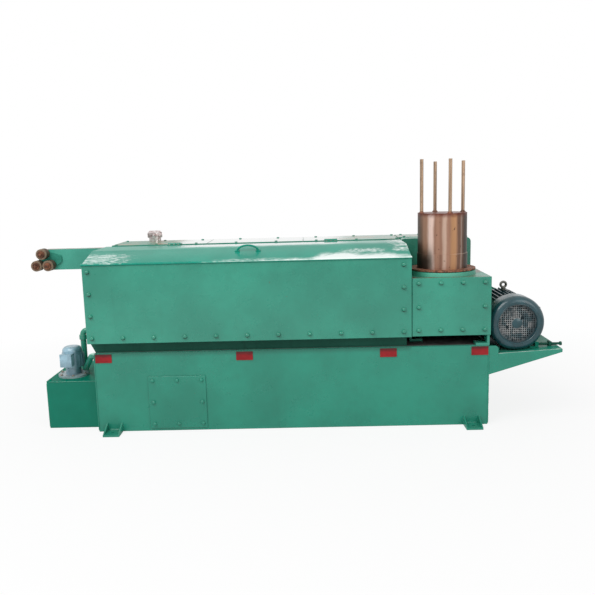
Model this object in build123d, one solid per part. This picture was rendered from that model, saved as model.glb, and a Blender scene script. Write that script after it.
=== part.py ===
from build123d import *
import math
import os

# Wet wire drawing machine. Millimetres, +X along the way of the wire, +Y away from the operator, +Z up.
# The origin is at floor level, in the middle of the four anchor bolts.

# Base: a welded plate box
BASE_LENGTH = 2800.0
BASE_DEPTH = 1060.0
BASE_HEIGHT = 580.0
BASE_PLATE = 12.0
HATCH_WIDTH = 414.0
HATCH_HEIGHT = 385.0
HATCH_THICKNESS = 8.0
HATCH_FROM_LEFT = 376.0
HATCH_BOTTOM = 21.0
HATCH_RIM = 60.0
PAD_WIDTH = 118.0
PAD_HEIGHT = 62.0
PAD_THICKNESS = 5.0
PAD_BELOW_TOP = 6.0
PAD_PLACES = [0.024, 0.3836, 0.7475, 0.9775]
FOOT_WIDTH = 116.0
FOOT_REACH = 115.0
FOOT_PLATE = 15.0
FOOT_RIB = 10.0
FOOT_RIB_HEIGHT = 65.0
FOOT_FROM_END = 115.0
FOOT_HOLE_D = 24.0
FOOT_HOLE_REACH = 62.0
LUG_REACH = 68.0
LUG_HEIGHT = 72.0
LUG_BELOW_TOP = 5.0
LUG_THICKNESS = 14.0
LUG_CORNER = 24.0

# Drawing chamber on the front half of the base
PLINTH_HEIGHT = 75.0
PLINTH_SETBACK = 45.0
PLINTH_FROM_RIGHT = 28.0
PLINTH_PLATE = 12.0
CHAMBER_FROM_RIGHT = 544.0
CHAMBER_DEPTH = 633.0
CHAMBER_PLATE = 12.0
FRONT_PLATE_HEIGHT = 555.0
FRONT_PLATE_THICKNESS = 12.0
FRONT_PLATE_PROUD = 18.0
FRONT_PLATE_LEFT_OVERHANG = 37.0
WIRE_SLOT = 44.0
WIRE_SLOT_BELOW_WIRE = 25.0

# Lid: one bent sheet on two hinges
LID_THICKNESS = 6.0
LID_SLOPE_RUN = 268.0
LID_SLOPE_RISE = 73.0
LID_SEAT_GAP = 0.5
LID_HEM_R = 8.5
LID_HEM_PROUD = 2.0
LID_TO_HINGE = 3.0
HANDLE_SPAN = 150.0
HANDLE_HEIGHT = 50.0
HANDLE_BAR_D = 14.0
HANDLE_ARC = 180.0
HANDLE_EAR = 34.0
HANDLE_EAR_THICKNESS = 6.0
HANDLE_UP_SLOPE = 205.0
HINGE_LENGTH = 100.0
HINGE_SPREAD = 1220.0
HINGE_LEAF = 46.0
HINGE_LEAF_THICKNESS = 5.0
HINGE_KNUCKLE_R = 9.0
HINGE_PIN_R = 5.0
HINGE_CLEARANCE = 0.08
HINGE_SIDE_GAP = 0.5
HINGE_FROM_GEARBOX = 12.0

# Gearbox behind the chamber
GEARBOX_BELOW_LID = 3.5
GEARBOX_REAR_SETBACK = 20.0
GEARBOX_COVER = 16.0
GEARBOX_COVER_COUNT = 3
GEARBOX_COVER_GAP = 3.0
INPUT_END_GAP = 6.0
INPUT_END_FRONT = 127.0
BREATHER_D = 115.0
BREATHER_NECK_D = 96.0
BREATHER_HEIGHT = 90.0
BREATHER_NECK_HEIGHT = 34.0
BREATHER_DOME = 14.0
BREATHER_FROM_LEFT = 278.0
BREATHER_FROM_REAR = 95.0
BEARING_CAP_D = 190.0
BEARING_CAP_THICKNESS = 16.0

# Capstans and die holders inside the chamber
CAPSTAN_COUNT = 6
CAPSTAN_END_ROOM = 276.0
CAPSTAN_R_PER_PITCH = 0.3182
CAPSTAN_RIM = 15.0
CAPSTAN_WIDTH = 78.0
CAPSTAN_FLANGE = 12.0
CAPSTAN_SHAFT_R = 32.0
DIE_HOLDER_PER_PITCH = 0.2121
DIE_HOLDER_HEIGHT = 96.0
DIE_HOLDER_WIDTH = 64.0
DIE_HOLE_D = 24.0

# Drum housing at the right end
HOUSING_GAP = 4.0
HOUSING_LENGTH = 550.0
HOUSING_BOTTOM_GAP = 77.0
HOUSING_HEIGHT = 411.0
HOUSING_COVER = 10.0
HOUSING_FOOT_LENGTH = 96.0
HOUSING_FOOT_DEPTH = 90.0
HOUSING_FOOT_PLATE = 18.0
HOUSING_FOOT_INSET = 5.0
HOUSING_LEFT_FOOT_SETBACK = 170.0
RING_R = 240.0
RING_HEIGHT = 28.0

# Take-up drum on a vertical shaft
DRUM_FROM_RIGHT = 284.0
DRUM_FROM_FRONT = 265.0
DRUM_FLANGE_R = 238.0
DRUM_FLANGE = 10.0
DRUM_RUNNING_GAP = 5.0
DRUM_R = 175.0
DRUM_FOOT_R = 179.0
DRUM_FOOT_HEIGHT = 108.0
DRUM_HEIGHT = 395.0
DRUM_WALL = 14.0
DRUM_SHAFT_R = 45.0
DRUM_SHAFT_DEPTH = 110.0
SHAFT_CLEARANCE = 0.06
ROD_D = 25.0
ROD_LENGTH = 375.0
ROD_CIRCLE_R = 155.0
ROD_TURN = 9.4
ROD_TRIMS = [-10.0, -9.0, 5.0, 1.0]

# Inlet arm with three guide rollers
WIRE_BELOW_FRONT_TOP = 3.0
ARM_LENGTH = 502.0
ARM_HEIGHT = 160.0
ARM_DEPTH = 65.0
ARM_WEB = 8.0
ARM_FLANGE = 11.0
ARM_ABOVE_WIRE = 75.0
ARM_FROM_CHAMBER_REAR = 43.0
ARM_END_PLATE = 12.0
ARM_END_PLATE_MARGIN = 12.0
CARRIER_PLATE = 12.0
CARRIER_CORNER_R = 24.0
CARRIER_TAIL = 120.0
ROLLER_D = 82.0
ROLLER_LENGTH = 74.0
ROLLER_PITCH = 89.0
ROLLER_WIRE_GAP = 8.0
ROLLER_GROOVE = 5.0
ROLLER_FROM_LEFT = 511.0
ROLLER_SIDE_GAP = 4.0
ROLLER_PIN_R = 14.0
ROLLER_CAP_R = 25.0
ROLLER_CAP = 6.0
ROLLER_CLEARANCE = 0.06

# Coolant tank with its pump and pipes
TANK_LENGTH = 396.0
TANK_DEPTH = 600.0
TANK_HEIGHT = 352.0
TANK_SHEET = 5.0
TANK_FROM_FRONT = 100.0
TANK_TOP_SHEET = 6.0
PUMP_FROM_WALL = 245.0
PUMP_FROM_FRONT = 265.0
PUMP_FLANGE_D = 224.0
PUMP_FLANGE = 16.0
PUMP_BODY_D = 156.0
PUMP_NECK_D = 112.0
PUMP_NECK = 56.0
PUMP_BODY_HEIGHT = 104.0
PUMP_COWL_D = 144.0
PUMP_COWL_HEIGHT = 48.0
PUMP_COWL_EDGE = 34.0
PUMP_RIB_COUNT = 20
PUMP_RIB = 5.0
PUMP_RIB_END = 12.0
PUMP_BOX_WIDTH = 84.0
PUMP_BOX_HEIGHT = 92.0
PUMP_BOX_DEPTH = 40.0
PUMP_BOX_ABOVE_FLANGE = 76.0
PUMP_BOX_TURN = 6.0
RISER_D = 44.0
RISER_FROM_WALL = 200.0
RISER_FROM_FRONT = 400.0
RISER_BEND = 34.0
RISER_ABOVE_FLOOR = 17.0
RISER_UNION_D = 58.0
RISER_UNION = 34.0
RETURN_D = 42.0
RETURN_FROM_FRONT = 90.0
RETURN_BELOW_TOP = 35.0
RETURN_KNEE_FROM_WALL = 45.0
RETURN_BEND = 30.0
RETURN_BOSS_FROM_PUMP = 82.0
RETURN_BOSS_BEHIND_PUMP = 20.0
RETURN_BOSS_D = 54.0
RETURN_BOSS = 20.0

# Motor bracket on the base's right end
BRACKET_BELOW_TOP = 65.0
DECK_RISE = 28.0
BRACKET_LENGTH = 518.0
BRACKET_PLATE = 14.0
BRACKET_ROOT = 150.0
BRACKET_TIP = 24.0
BRACKET_DEPTH = 619.0
RAIL_WIDTH = 64.0
RAIL_HEIGHT = 28.0
RAIL_FRONT_END = 100.0
RAIL_REAR_END = 55.0
JACK_LUG = 16.0
JACK_ABOVE_RAIL = 12.0
JACK_LUG_WIDTH = 44.0
JACK_LUG_MARGIN = 20.0
JACK_THRUST = 26.0
JACK_FROM_TIP = 48.0
JACK_SCREW_D = 18.0
JACK_HEAD_D = 30.0
JACK_HEAD = 13.0
JACK_REACH = 65.0
JACK_FROM_EDGE = 25.0

# Motor
MOTOR_FROM_BASE = 208.0
MOTOR_SHAFT_HEIGHT = 180.0
MOTOR_FRONT = 25.0
MOTOR_COWL_R = 195.0
MOTOR_COWL_LENGTH = 135.0
MOTOR_COWL_EDGE = 46.0
MOTOR_COWL_SHEET = 4.0
MOTOR_GRILLE_R = 137.0
MOTOR_HUB_R = 36.0
GRILLE_SEAT = 7.0
GRILLE_RECESS = 24.0
GRILLE_PITCH = 15.0
GRILLE_HOLE = 10.0
GRILLE_SHEET = 3.0
MOTOR_END_RING = 10.0
MOTOR_BODY_R = 150.0
MOTOR_TO_GUARD = 18.0
MOTOR_FIN_R = 182.0
MOTOR_FIN = 5.0
MOTOR_FIN_STEP = 9.0
MOTOR_SHIELD_R = 168.0
MOTOR_SHIELD_RIM = 22.0
MOTOR_SHIELD_LENGTH = 62.0
MOTOR_NOSE_R = 78.0
MOTOR_SHAFT_R = 24.0
MOTOR_SHAFT_IN_GUARD = 70.0
MOTOR_FOOT_GAUGE = 279.0
MOTOR_FOOT_WIDTH = 68.0
MOTOR_FOOT_PLATE = 20.0
MOTOR_FOOT_FROM_BODY = 30.0
TERMINAL_BOX_WIDTH = 150.0
TERMINAL_BOX_HEIGHT = 130.0
TERMINAL_BOX_DEPTH = 52.0
TERMINAL_BOX_PLACE = 0.525
EYE_RING_R = 20.0
EYE_WIRE_R = 9.0
EYE_COLLAR_R = 17.0
EYE_COLLAR = 22.0
EYE_PLACE = 0.65

# Belt guard between motor and gearbox
GUARD_GAP = 7.0
GUARD_BELOW_COVER = 3.0
GUARD_CORNER = 34.0
GUARD_END_R = 138.0
GUARD_ARM_ROOT = 410.0
GUARD_FOOT_GAP = 10.0
GUARD_SHAFT_CLEARANCE = 12.0

# Reference planes worked out from the sizes above
LEFT = -BASE_LENGTH / 2
RIGHT = BASE_LENGTH / 2
FRONT = -BASE_DEPTH / 2
REAR = BASE_DEPTH / 2
CHAMBER_BOTTOM = BASE_HEIGHT + PLINTH_HEIGHT
CHAMBER_RIGHT = RIGHT - CHAMBER_FROM_RIGHT
CHAMBER_LENGTH = CHAMBER_RIGHT - LEFT
CHAMBER_REAR = FRONT + CHAMBER_DEPTH
FRONT_PLATE_OUTER = FRONT - FRONT_PLATE_PROUD
FRONT_PLATE_INNER = FRONT_PLATE_OUTER + FRONT_PLATE_THICKNESS
FRONT_PLATE_TOP = CHAMBER_BOTTOM + FRONT_PLATE_HEIGHT
LID_ANGLE = math.atan2(LID_SLOPE_RISE, LID_SLOPE_RUN)
LID_UNDER = FRONT_PLATE_TOP + LID_SEAT_GAP + LID_SLOPE_RISE
LID_TOP = LID_UNDER + LID_THICKNESS
LID_BREAK = FRONT_PLATE_OUTER + LID_SLOPE_RUN
LID_LEFT = LEFT - FRONT_PLATE_LEFT_OVERHANG
LID_CENTRE = (LID_LEFT + CHAMBER_RIGHT) / 2
WIRE_Z = FRONT_PLATE_TOP - WIRE_BELOW_FRONT_TOP
CAPSTAN_PITCH = (CHAMBER_LENGTH - CAPSTAN_END_ROOM) / CAPSTAN_COUNT
CAPSTAN_R = CAPSTAN_R_PER_PITCH * CAPSTAN_PITCH
DIE_HOLDER_LENGTH = DIE_HOLDER_PER_PITCH * CAPSTAN_PITCH
HINGE_Y = CHAMBER_REAR - HINGE_FROM_GEARBOX
HINGE_Z = LID_TOP + HINGE_LEAF_THICKNESS + HINGE_KNUCKLE_R / 2
GEARBOX_REAR = REAR - GEARBOX_REAR_SETBACK
GEARBOX_TOP = LID_UNDER - GEARBOX_BELOW_LID
COVER_TOP = GEARBOX_TOP + GEARBOX_COVER
HOUSING_LEFT = CHAMBER_RIGHT + HOUSING_GAP
HOUSING_RIGHT = HOUSING_LEFT + HOUSING_LENGTH
HOUSING_BOTTOM = BASE_HEIGHT + HOUSING_BOTTOM_GAP
HOUSING_TOP = HOUSING_BOTTOM + HOUSING_HEIGHT
INPUT_LEFT = CHAMBER_RIGHT + INPUT_END_GAP
INPUT_FRONT = CHAMBER_REAR + INPUT_END_FRONT
DRUM_X = RIGHT - DRUM_FROM_RIGHT
DRUM_Y = FRONT + DRUM_FROM_FRONT
RING_TOP = HOUSING_TOP + RING_HEIGHT
FLANGE_BOTTOM = RING_TOP + DRUM_RUNNING_GAP
FLANGE_TOP = FLANGE_BOTTOM + DRUM_FLANGE
DRUM_TOP = FLANGE_TOP + DRUM_HEIGHT
ARM_Y = CHAMBER_REAR - ARM_FROM_CHAMBER_REAR
ARM_TOP = WIRE_Z + ARM_ABOVE_WIRE
CARRIER_Y = ARM_Y - CARRIER_PLATE
ROLLER_REAR = CARRIER_Y - ROLLER_SIDE_GAP
ROLLER_FRONT = ROLLER_REAR - ROLLER_LENGTH
WIRE_Y = (ROLLER_FRONT + ROLLER_REAR) / 2
ROLLER_X = LEFT - ROLLER_FROM_LEFT
ROLLER_RISE = (ROLLER_D + ROLLER_WIRE_GAP) / 2
BRACKET_TOP = BASE_HEIGHT - BRACKET_BELOW_TOP
BRACKET_FRONT = FRONT + LUG_THICKNESS
MOTOR_X = RIGHT + MOTOR_FROM_BASE
RAIL_TOP = BRACKET_TOP + RAIL_HEIGHT
MOTOR_Z = RAIL_TOP + MOTOR_SHAFT_HEIGHT
MOTOR_Y = FRONT + MOTOR_FRONT
MOTOR_BODY_FRONT = MOTOR_Y + MOTOR_COWL_LENGTH
GUARD_FRONT = CHAMBER_REAR + GUARD_GAP
MOTOR_BODY_REAR = GUARD_FRONT - MOTOR_TO_GUARD - MOTOR_SHIELD_LENGTH
MOTOR_BODY_LENGTH = MOTOR_BODY_REAR - MOTOR_BODY_FRONT
MOTOR_FOOT_LENGTH = MOTOR_BODY_LENGTH - 2 * MOTOR_FOOT_FROM_BODY
GUARD_TOP = COVER_TOP - GUARD_BELOW_COVER
GUARD_BOTTOM = BASE_HEIGHT + GUARD_FOOT_GAP
TANK_FRONT = FRONT + TANK_FROM_FRONT
TANK_LEFT = LEFT - TANK_LENGTH
TANK_TOP = TANK_HEIGHT + TANK_TOP_SHEET
PUMP_X = LEFT - PUMP_FROM_WALL
PUMP_Y = FRONT + PUMP_FROM_FRONT

nodes = {}


def block(x0, x1, y0, y1, z0, z1):
    """Box between two opposite corners."""
    return Pos((x0 + x1) / 2, (y0 + y1) / 2, (z0 + z1) / 2) * Box(x1 - x0, y1 - y0, z1 - z0)


def upright(x, y, z0, z1, radius):
    """Cylinder along Z."""
    return Pos(x, y, (z0 + z1) / 2) * Cylinder(radius, z1 - z0)


def along_x(y, z, x0, x1, radius):
    """Cylinder along X."""
    return Pos((x0 + x1) / 2, y, z) * Rot(0, 90, 0) * Cylinder(radius, x1 - x0)


def along_y(x, z, y0, y1, radius):
    """Cylinder along Y."""
    return Pos(x, (y0 + y1) / 2, z) * Rot(90, 0, 0) * Cylinder(radius, y1 - y0)


def polygon(points):
    """Flat face inside a closed outline."""
    return make_face(Polyline(*points, close=True))


def side_profile(points, x0, x1):
    """Outline of (Y, Z) points, extruded along X."""
    return Pos(x0, 0, 0) * extrude(Plane.YZ * polygon(points), amount=x1 - x0)


def front_profile(face, y0, y1):
    """Face drawn in (X, Z), extruded along Y."""
    return Pos(0, y1, 0) * extrude(Plane.XZ * face, amount=y1 - y0)


def spun_upright(points, x, y):
    """Outline of (radius, Z) points, turned about a vertical axis."""
    return Pos(x, y, 0) * revolve(Plane.XZ * polygon(points), Axis.Z)


def spun_along_y(points, x, z):
    """Outline of (radius, Y) points, turned about an axis along Y."""
    return Pos(x, 0, z) * revolve(polygon(points), Axis.Y)


def together(shapes):
    """Several separate solids in one node."""
    return Compound(children=list(shapes))


def base_box():
    """Plate box with a hatch in its front wall, closed by a bolted cover."""
    hatch_left = LEFT + HATCH_FROM_LEFT
    hatch_right = hatch_left + HATCH_WIDTH
    hatch_top = HATCH_BOTTOM + HATCH_HEIGHT
    inner_left = LEFT + BASE_PLATE
    inner_right = RIGHT - BASE_PLATE
    inner_front = FRONT + BASE_PLATE
    inner_rear = REAR - BASE_PLATE
    front_wall = block(LEFT, RIGHT, FRONT, inner_front, 0, BASE_HEIGHT)
    front_wall -= block(hatch_left + HATCH_RIM, hatch_right - HATCH_RIM, FRONT - BASE_PLATE,
                        inner_front + BASE_PLATE, HATCH_BOTTOM + HATCH_RIM, hatch_top - HATCH_RIM)
    nodes["base_front_wall"] = front_wall
    nodes["base_rear_wall"] = block(LEFT, RIGHT, inner_rear, REAR, 0, BASE_HEIGHT)
    nodes["base_left_wall"] = block(LEFT, inner_left, inner_front, inner_rear, 0, BASE_HEIGHT)
    nodes["base_right_wall"] = block(inner_right, RIGHT, inner_front, inner_rear, 0, BASE_HEIGHT)
    nodes["base_top_plate"] = block(inner_left, inner_right, inner_front, inner_rear,
                                    BASE_HEIGHT - BASE_PLATE, BASE_HEIGHT)
    nodes["inspection_cover"] = block(hatch_left, hatch_right, FRONT - HATCH_THICKNESS, FRONT,
                                      HATCH_BOTTOM, hatch_top)


def red_pads():
    """Thin red plates along the top of the front wall."""
    pad_top = BASE_HEIGHT - PAD_BELOW_TOP
    pads = []
    for place in PAD_PLACES:
        x = LEFT + place * BASE_LENGTH
        pads.append(block(x - PAD_WIDTH / 2, x + PAD_WIDTH / 2, FRONT - PAD_THICKNESS, FRONT,
                          pad_top - PAD_HEIGHT, pad_top))
    nodes["red_pads"] = together(pads)


def anchor_foot(x, wall, outward):
    """Foot plate with one bolt hole and two ribs, welded to a wall; outward is -1 or 1 along Y."""
    tip = wall + outward * FOOT_REACH
    plate = block(x - FOOT_WIDTH / 2, x + FOOT_WIDTH / 2, min(wall, tip), max(wall, tip), 0, FOOT_PLATE)
    plate -= upright(x, wall + outward * FOOT_HOLE_REACH, -FOOT_PLATE, 2 * FOOT_PLATE, FOOT_HOLE_D / 2)
    rib_outline = [(wall, FOOT_PLATE), (tip, FOOT_PLATE), (wall, FOOT_RIB_HEIGHT)]
    plate += side_profile(rib_outline, x - FOOT_WIDTH / 2, x - FOOT_WIDTH / 2 + FOOT_RIB)
    plate += side_profile(rib_outline, x + FOOT_WIDTH / 2 - FOOT_RIB, x + FOOT_WIDTH / 2)
    return plate


def anchor_feet():
    """Two feet on the front wall and two on the rear wall."""
    feet = []
    for x in (LEFT + FOOT_FROM_END, RIGHT - FOOT_FROM_END):
        feet.append(anchor_foot(x, FRONT, -1))
        feet.append(anchor_foot(x, REAR, 1))
    nodes["anchor_feet"] = together(feet)


def corner_lug():
    """Round-cornered lug plate on the base's right end, in front of the motor bracket."""
    top = BASE_HEIGHT - LUG_BELOW_TOP
    outline = Pos(RIGHT + LUG_REACH / 2, top - LUG_HEIGHT / 2) * Rectangle(LUG_REACH, LUG_HEIGHT)
    outer_corner = outline.vertices().sort_by(Axis.Y)[-2:].sort_by(Axis.X)[-1]
    nodes["corner_lug"] = front_profile(fillet(outer_corner, LUG_CORNER), FRONT, FRONT + LUG_THICKNESS)


def chamber():
    """Plinth, floor, end walls with wire slots, and the bolted front plate."""
    plinth_right = CHAMBER_RIGHT - PLINTH_FROM_RIGHT
    plinth_front = FRONT + PLINTH_SETBACK
    plinth = block(LEFT, plinth_right, plinth_front, CHAMBER_REAR, BASE_HEIGHT, CHAMBER_BOTTOM)
    plinth -= block(LEFT + PLINTH_PLATE, plinth_right - PLINTH_PLATE, plinth_front + PLINTH_PLATE,
                    CHAMBER_REAR - PLINTH_PLATE, BASE_HEIGHT - PLINTH_PLATE, CHAMBER_BOTTOM + PLINTH_PLATE)
    wing = polygon([(LEFT, BASE_HEIGHT), (LEFT, CHAMBER_BOTTOM), (LID_LEFT, CHAMBER_BOTTOM)])
    nodes["chamber_plinth"] = plinth + front_profile(wing, plinth_front, plinth_front + PLINTH_PLATE)
    nodes["chamber_floor"] = block(LEFT + CHAMBER_PLATE, CHAMBER_RIGHT - CHAMBER_PLATE, FRONT_PLATE_INNER,
                                   CHAMBER_REAR, CHAMBER_BOTTOM, CHAMBER_BOTTOM + CHAMBER_PLATE)
    nodes["chamber_front_plate"] = block(LID_LEFT, CHAMBER_RIGHT, FRONT_PLATE_OUTER, FRONT_PLATE_INNER,
                                         CHAMBER_BOTTOM, FRONT_PLATE_TOP)
    seat = LID_UNDER - LID_SEAT_GAP
    front_seat = FRONT_PLATE_TOP + FRONT_PLATE_THICKNESS * math.tan(LID_ANGLE)
    outline = [(FRONT_PLATE_INNER, CHAMBER_BOTTOM), (CHAMBER_REAR, CHAMBER_BOTTOM), (CHAMBER_REAR, seat),
               (LID_BREAK, seat), (FRONT_PLATE_INNER, front_seat)]
    slot_bottom = WIRE_Z - WIRE_SLOT_BELOW_WIRE
    left_wall = side_profile(outline, LEFT, LEFT + CHAMBER_PLATE)
    left_wall -= block(LEFT - CHAMBER_PLATE, LEFT + 2 * CHAMBER_PLATE, WIRE_Y - WIRE_SLOT / 2,
                       WIRE_Y + WIRE_SLOT / 2, slot_bottom, LID_TOP)
    nodes["chamber_left_wall"] = left_wall
    outlet_y = DRUM_Y + DRUM_FOOT_R
    outlet_bottom = FLANGE_TOP + WIRE_SLOT / 2
    right_wall = side_profile(outline, CHAMBER_RIGHT - CHAMBER_PLATE, CHAMBER_RIGHT)
    right_wall -= block(CHAMBER_RIGHT - 2 * CHAMBER_PLATE, CHAMBER_RIGHT + CHAMBER_PLATE,
                        outlet_y - WIRE_SLOT / 2, outlet_y + WIRE_SLOT / 2, outlet_bottom, LID_TOP)
    nodes["chamber_right_wall"] = right_wall


def capstans_and_dies():
    """A row of drawing capstans on the gearbox wall, with a die holder before each."""
    z = WIRE_Z - CAPSTAN_R
    front = WIRE_Y - CAPSTAN_WIDTH / 2
    rear = WIRE_Y + CAPSTAN_WIDTH / 2
    rim = CAPSTAN_R + CAPSTAN_RIM
    capstans = []
    holders = []
    for index in range(CAPSTAN_COUNT):
        x = LEFT + (index + 1) * CAPSTAN_PITCH
        outline = [(0, front + CAPSTAN_FLANGE / 2), (CAPSTAN_SHAFT_R, front),
                   (CAPSTAN_R, front), (CAPSTAN_R, rear - CAPSTAN_FLANGE), (rim, rear - CAPSTAN_FLANGE),
                   (rim, rear), (CAPSTAN_SHAFT_R, rear), (CAPSTAN_SHAFT_R, CHAMBER_REAR), (0, CHAMBER_REAR)]
        capstans.append(spun_along_y(outline, x, z))
        middle = x - CAPSTAN_PITCH / 2
        holder = block(middle - DIE_HOLDER_LENGTH / 2, middle + DIE_HOLDER_LENGTH / 2,
                       WIRE_Y - DIE_HOLDER_WIDTH / 2, CHAMBER_REAR,
                       WIRE_Z - DIE_HOLDER_HEIGHT / 2, WIRE_Z + DIE_HOLDER_HEIGHT / 2)
        hole_start = middle - DIE_HOLDER_LENGTH
        holder -= along_x(WIRE_Y, WIRE_Z, hole_start, middle + DIE_HOLDER_LENGTH, DIE_HOLE_D / 2)
        holders.append(holder)
    nodes["capstans"] = together(capstans)
    nodes["die_holders"] = together(holders)


def lid():
    """Bent lid sheet: a sloped front face with a rolled hem along its lower edge, and a flat top."""
    rear = HINGE_Y - LID_TO_HINGE
    under_front = FRONT_PLATE_TOP + LID_SEAT_GAP
    over_front = under_front + LID_THICKNESS / math.cos(LID_ANGLE)
    over_break = FRONT_PLATE_OUTER + (LID_TOP - over_front) / math.tan(LID_ANGLE)
    outline = [(FRONT_PLATE_OUTER, under_front), (LID_BREAK, LID_UNDER), (rear, LID_UNDER), (rear, LID_TOP),
               (over_break, LID_TOP), (FRONT_PLATE_OUTER, over_front)]
    sheet = side_profile(outline, LID_LEFT, CHAMBER_RIGHT)
    hem_y = FRONT_PLATE_OUTER - LID_HEM_PROUD
    nodes["lid_sheet"] = sheet + along_x(hem_y, under_front + LID_HEM_R, LID_LEFT, CHAMBER_RIGHT, LID_HEM_R)
    return over_front


def lid_handle(over_front):
    """Round bar bent to an arch, on two flat ears on the lid's slope."""
    half = HANDLE_SPAN / 2
    crown = HANDLE_HEIGHT - HANDLE_BAR_D / 2
    path = Plane.XZ * EllipticalCenterArc((0, 0), half, crown, start_angle=0, arc_size=HANDLE_ARC)
    bar = sweep(Plane(origin=path @ 0, z_dir=path % 0) * Circle(HANDLE_BAR_D / 2), path=path)
    handle = bar
    for side in (-1, 1):
        handle += block(side * half - HANDLE_EAR / 2, side * half + HANDLE_EAR / 2,
                        -HANDLE_BAR_D, HANDLE_BAR_D, 0, HANDLE_EAR_THICKNESS)
    y = FRONT_PLATE_OUTER + HANDLE_UP_SLOPE * math.cos(LID_ANGLE)
    z = over_front + HANDLE_UP_SLOPE * math.sin(LID_ANGLE)
    nodes["lid_handle"] = Pos(LID_CENTRE, y, z) * Rot(math.degrees(LID_ANGLE), 0, 0) * handle


def hinges():
    """Two butt hinges: knuckles and pin fixed to the gearbox cover, the middle knuckle on the lid."""
    third = HINGE_LENGTH / 3
    fixed = []
    moving = []
    for side in (-1, 1):
        x = LID_CENTRE + side * HINGE_SPREAD / 2
        start = x - HINGE_LENGTH / 2
        end = x + HINGE_LENGTH / 2
        leaf_start = HINGE_Y + HINGE_FROM_GEARBOX
        leaf_top = COVER_TOP + HINGE_LEAF_THICKNESS
        leaf = block(start, end, leaf_start, leaf_start + HINGE_LEAF, COVER_TOP, leaf_top)
        leaf += along_x(HINGE_Y, HINGE_Z, start, end, HINGE_PIN_R)
        for a, b in ((start, start + third), (end - third, end)):
            leaf += along_x(HINGE_Y, HINGE_Z, a, b, HINGE_KNUCKLE_R)
            leaf += block(a, b, HINGE_Y, leaf_start, COVER_TOP, leaf_top)
        fixed.append(leaf)
        a = start + third + HINGE_SIDE_GAP
        b = end - third - HINGE_SIDE_GAP
        rear = HINGE_Y - LID_TO_HINGE
        flap = block(start, end, rear - HINGE_LEAF, rear, LID_TOP, LID_TOP + HINGE_LEAF_THICKNESS)
        flap += along_x(HINGE_Y, HINGE_Z, a, b, HINGE_KNUCKLE_R)
        flap += block(a, b, rear, HINGE_Y, LID_TOP, LID_TOP + HINGE_LEAF_THICKNESS)
        for c, d in ((start - HINGE_SIDE_GAP, a), (b, end + HINGE_SIDE_GAP)):
            flap -= along_x(HINGE_Y, HINGE_Z, c, d, HINGE_KNUCKLE_R + HINGE_SIDE_GAP)
        flap -= along_x(HINGE_Y, HINGE_Z, start, end, HINGE_PIN_R + HINGE_CLEARANCE)
        moving.append(flap)
    nodes["hinge_fixed_leaves"] = together(fixed)
    nodes["hinge_moving_leaves"] = together(moving)


def gearbox():
    """Closed gearbox behind the chamber, its input end, top covers, breather and bearing caps."""
    nodes["gearbox_main"] = block(LEFT, CHAMBER_RIGHT, CHAMBER_REAR, GEARBOX_REAR, BASE_HEIGHT, GEARBOX_TOP)
    nodes["gearbox_input_end"] = block(INPUT_LEFT, HOUSING_RIGHT, INPUT_FRONT, GEARBOX_REAR,
                                       BASE_HEIGHT, GEARBOX_TOP)
    covers = []
    length = CHAMBER_LENGTH / GEARBOX_COVER_COUNT
    for index in range(GEARBOX_COVER_COUNT):
        start = LEFT + index * length + GEARBOX_COVER_GAP / 2
        covers.append(block(start, start + length - GEARBOX_COVER_GAP, CHAMBER_REAR, GEARBOX_REAR,
                            GEARBOX_TOP, COVER_TOP))
    covers.append(block(INPUT_LEFT, HOUSING_RIGHT, INPUT_FRONT, GEARBOX_REAR, GEARBOX_TOP, COVER_TOP))
    nodes["gearbox_covers"] = together(covers)
    rim = COVER_TOP + BREATHER_HEIGHT - BREATHER_DOME
    neck = COVER_TOP + BREATHER_NECK_HEIGHT
    top = rim + BREATHER_DOME
    outline = [(0, COVER_TOP), (BREATHER_NECK_D / 2, COVER_TOP), (BREATHER_NECK_D / 2, neck),
               (BREATHER_D / 2, neck), (BREATHER_D / 2, rim), (BREATHER_D / 2 - BREATHER_DOME, top), (0, top)]
    y = GEARBOX_REAR - BREATHER_FROM_REAR
    nodes["breather_cap"] = spun_upright(outline, LEFT + BREATHER_FROM_LEFT, y)
    caps = []
    for index in range(CAPSTAN_COUNT):
        x = LEFT + (index + 1) * CAPSTAN_PITCH
        caps.append(along_y(x, WIRE_Z - CAPSTAN_R, GEARBOX_REAR, GEARBOX_REAR + BEARING_CAP_THICKNESS,
                            BEARING_CAP_D / 2))
    nodes["bearing_caps"] = together(caps)


def belt_guard():
    """Closed sheet guard: a tall box behind the drum and a rounded arm down to the motor shaft."""
    tall = Pos((INPUT_LEFT + HOUSING_RIGHT) / 2, (GUARD_BOTTOM + GUARD_TOP) / 2) * Rectangle(
        HOUSING_RIGHT - INPUT_LEFT, GUARD_TOP - GUARD_BOTTOM)
    tall = fillet(tall.vertices().sort_by(Axis.Y)[-2:], GUARD_CORNER)
    end = Pos(MOTOR_X, MOTOR_Z) * Circle(GUARD_END_R)
    root = Polyline((HOUSING_RIGHT, GUARD_BOTTOM), (HOUSING_RIGHT, GUARD_BOTTOM + GUARD_ARM_ROOT))
    arm = make_hull(end.edges() + root.edges())
    shaft_hole = Pos(MOTOR_X, MOTOR_Z) * Circle(MOTOR_SHAFT_R + GUARD_SHAFT_CLEARANCE)
    guard = front_profile(tall + arm, GUARD_FRONT, INPUT_FRONT)
    hole_end = GUARD_FRONT + MOTOR_SHAFT_IN_GUARD + GUARD_SHAFT_CLEARANCE
    guard -= front_profile(shaft_hole, GUARD_FRONT, hole_end)
    nodes["belt_guard"] = guard


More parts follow.
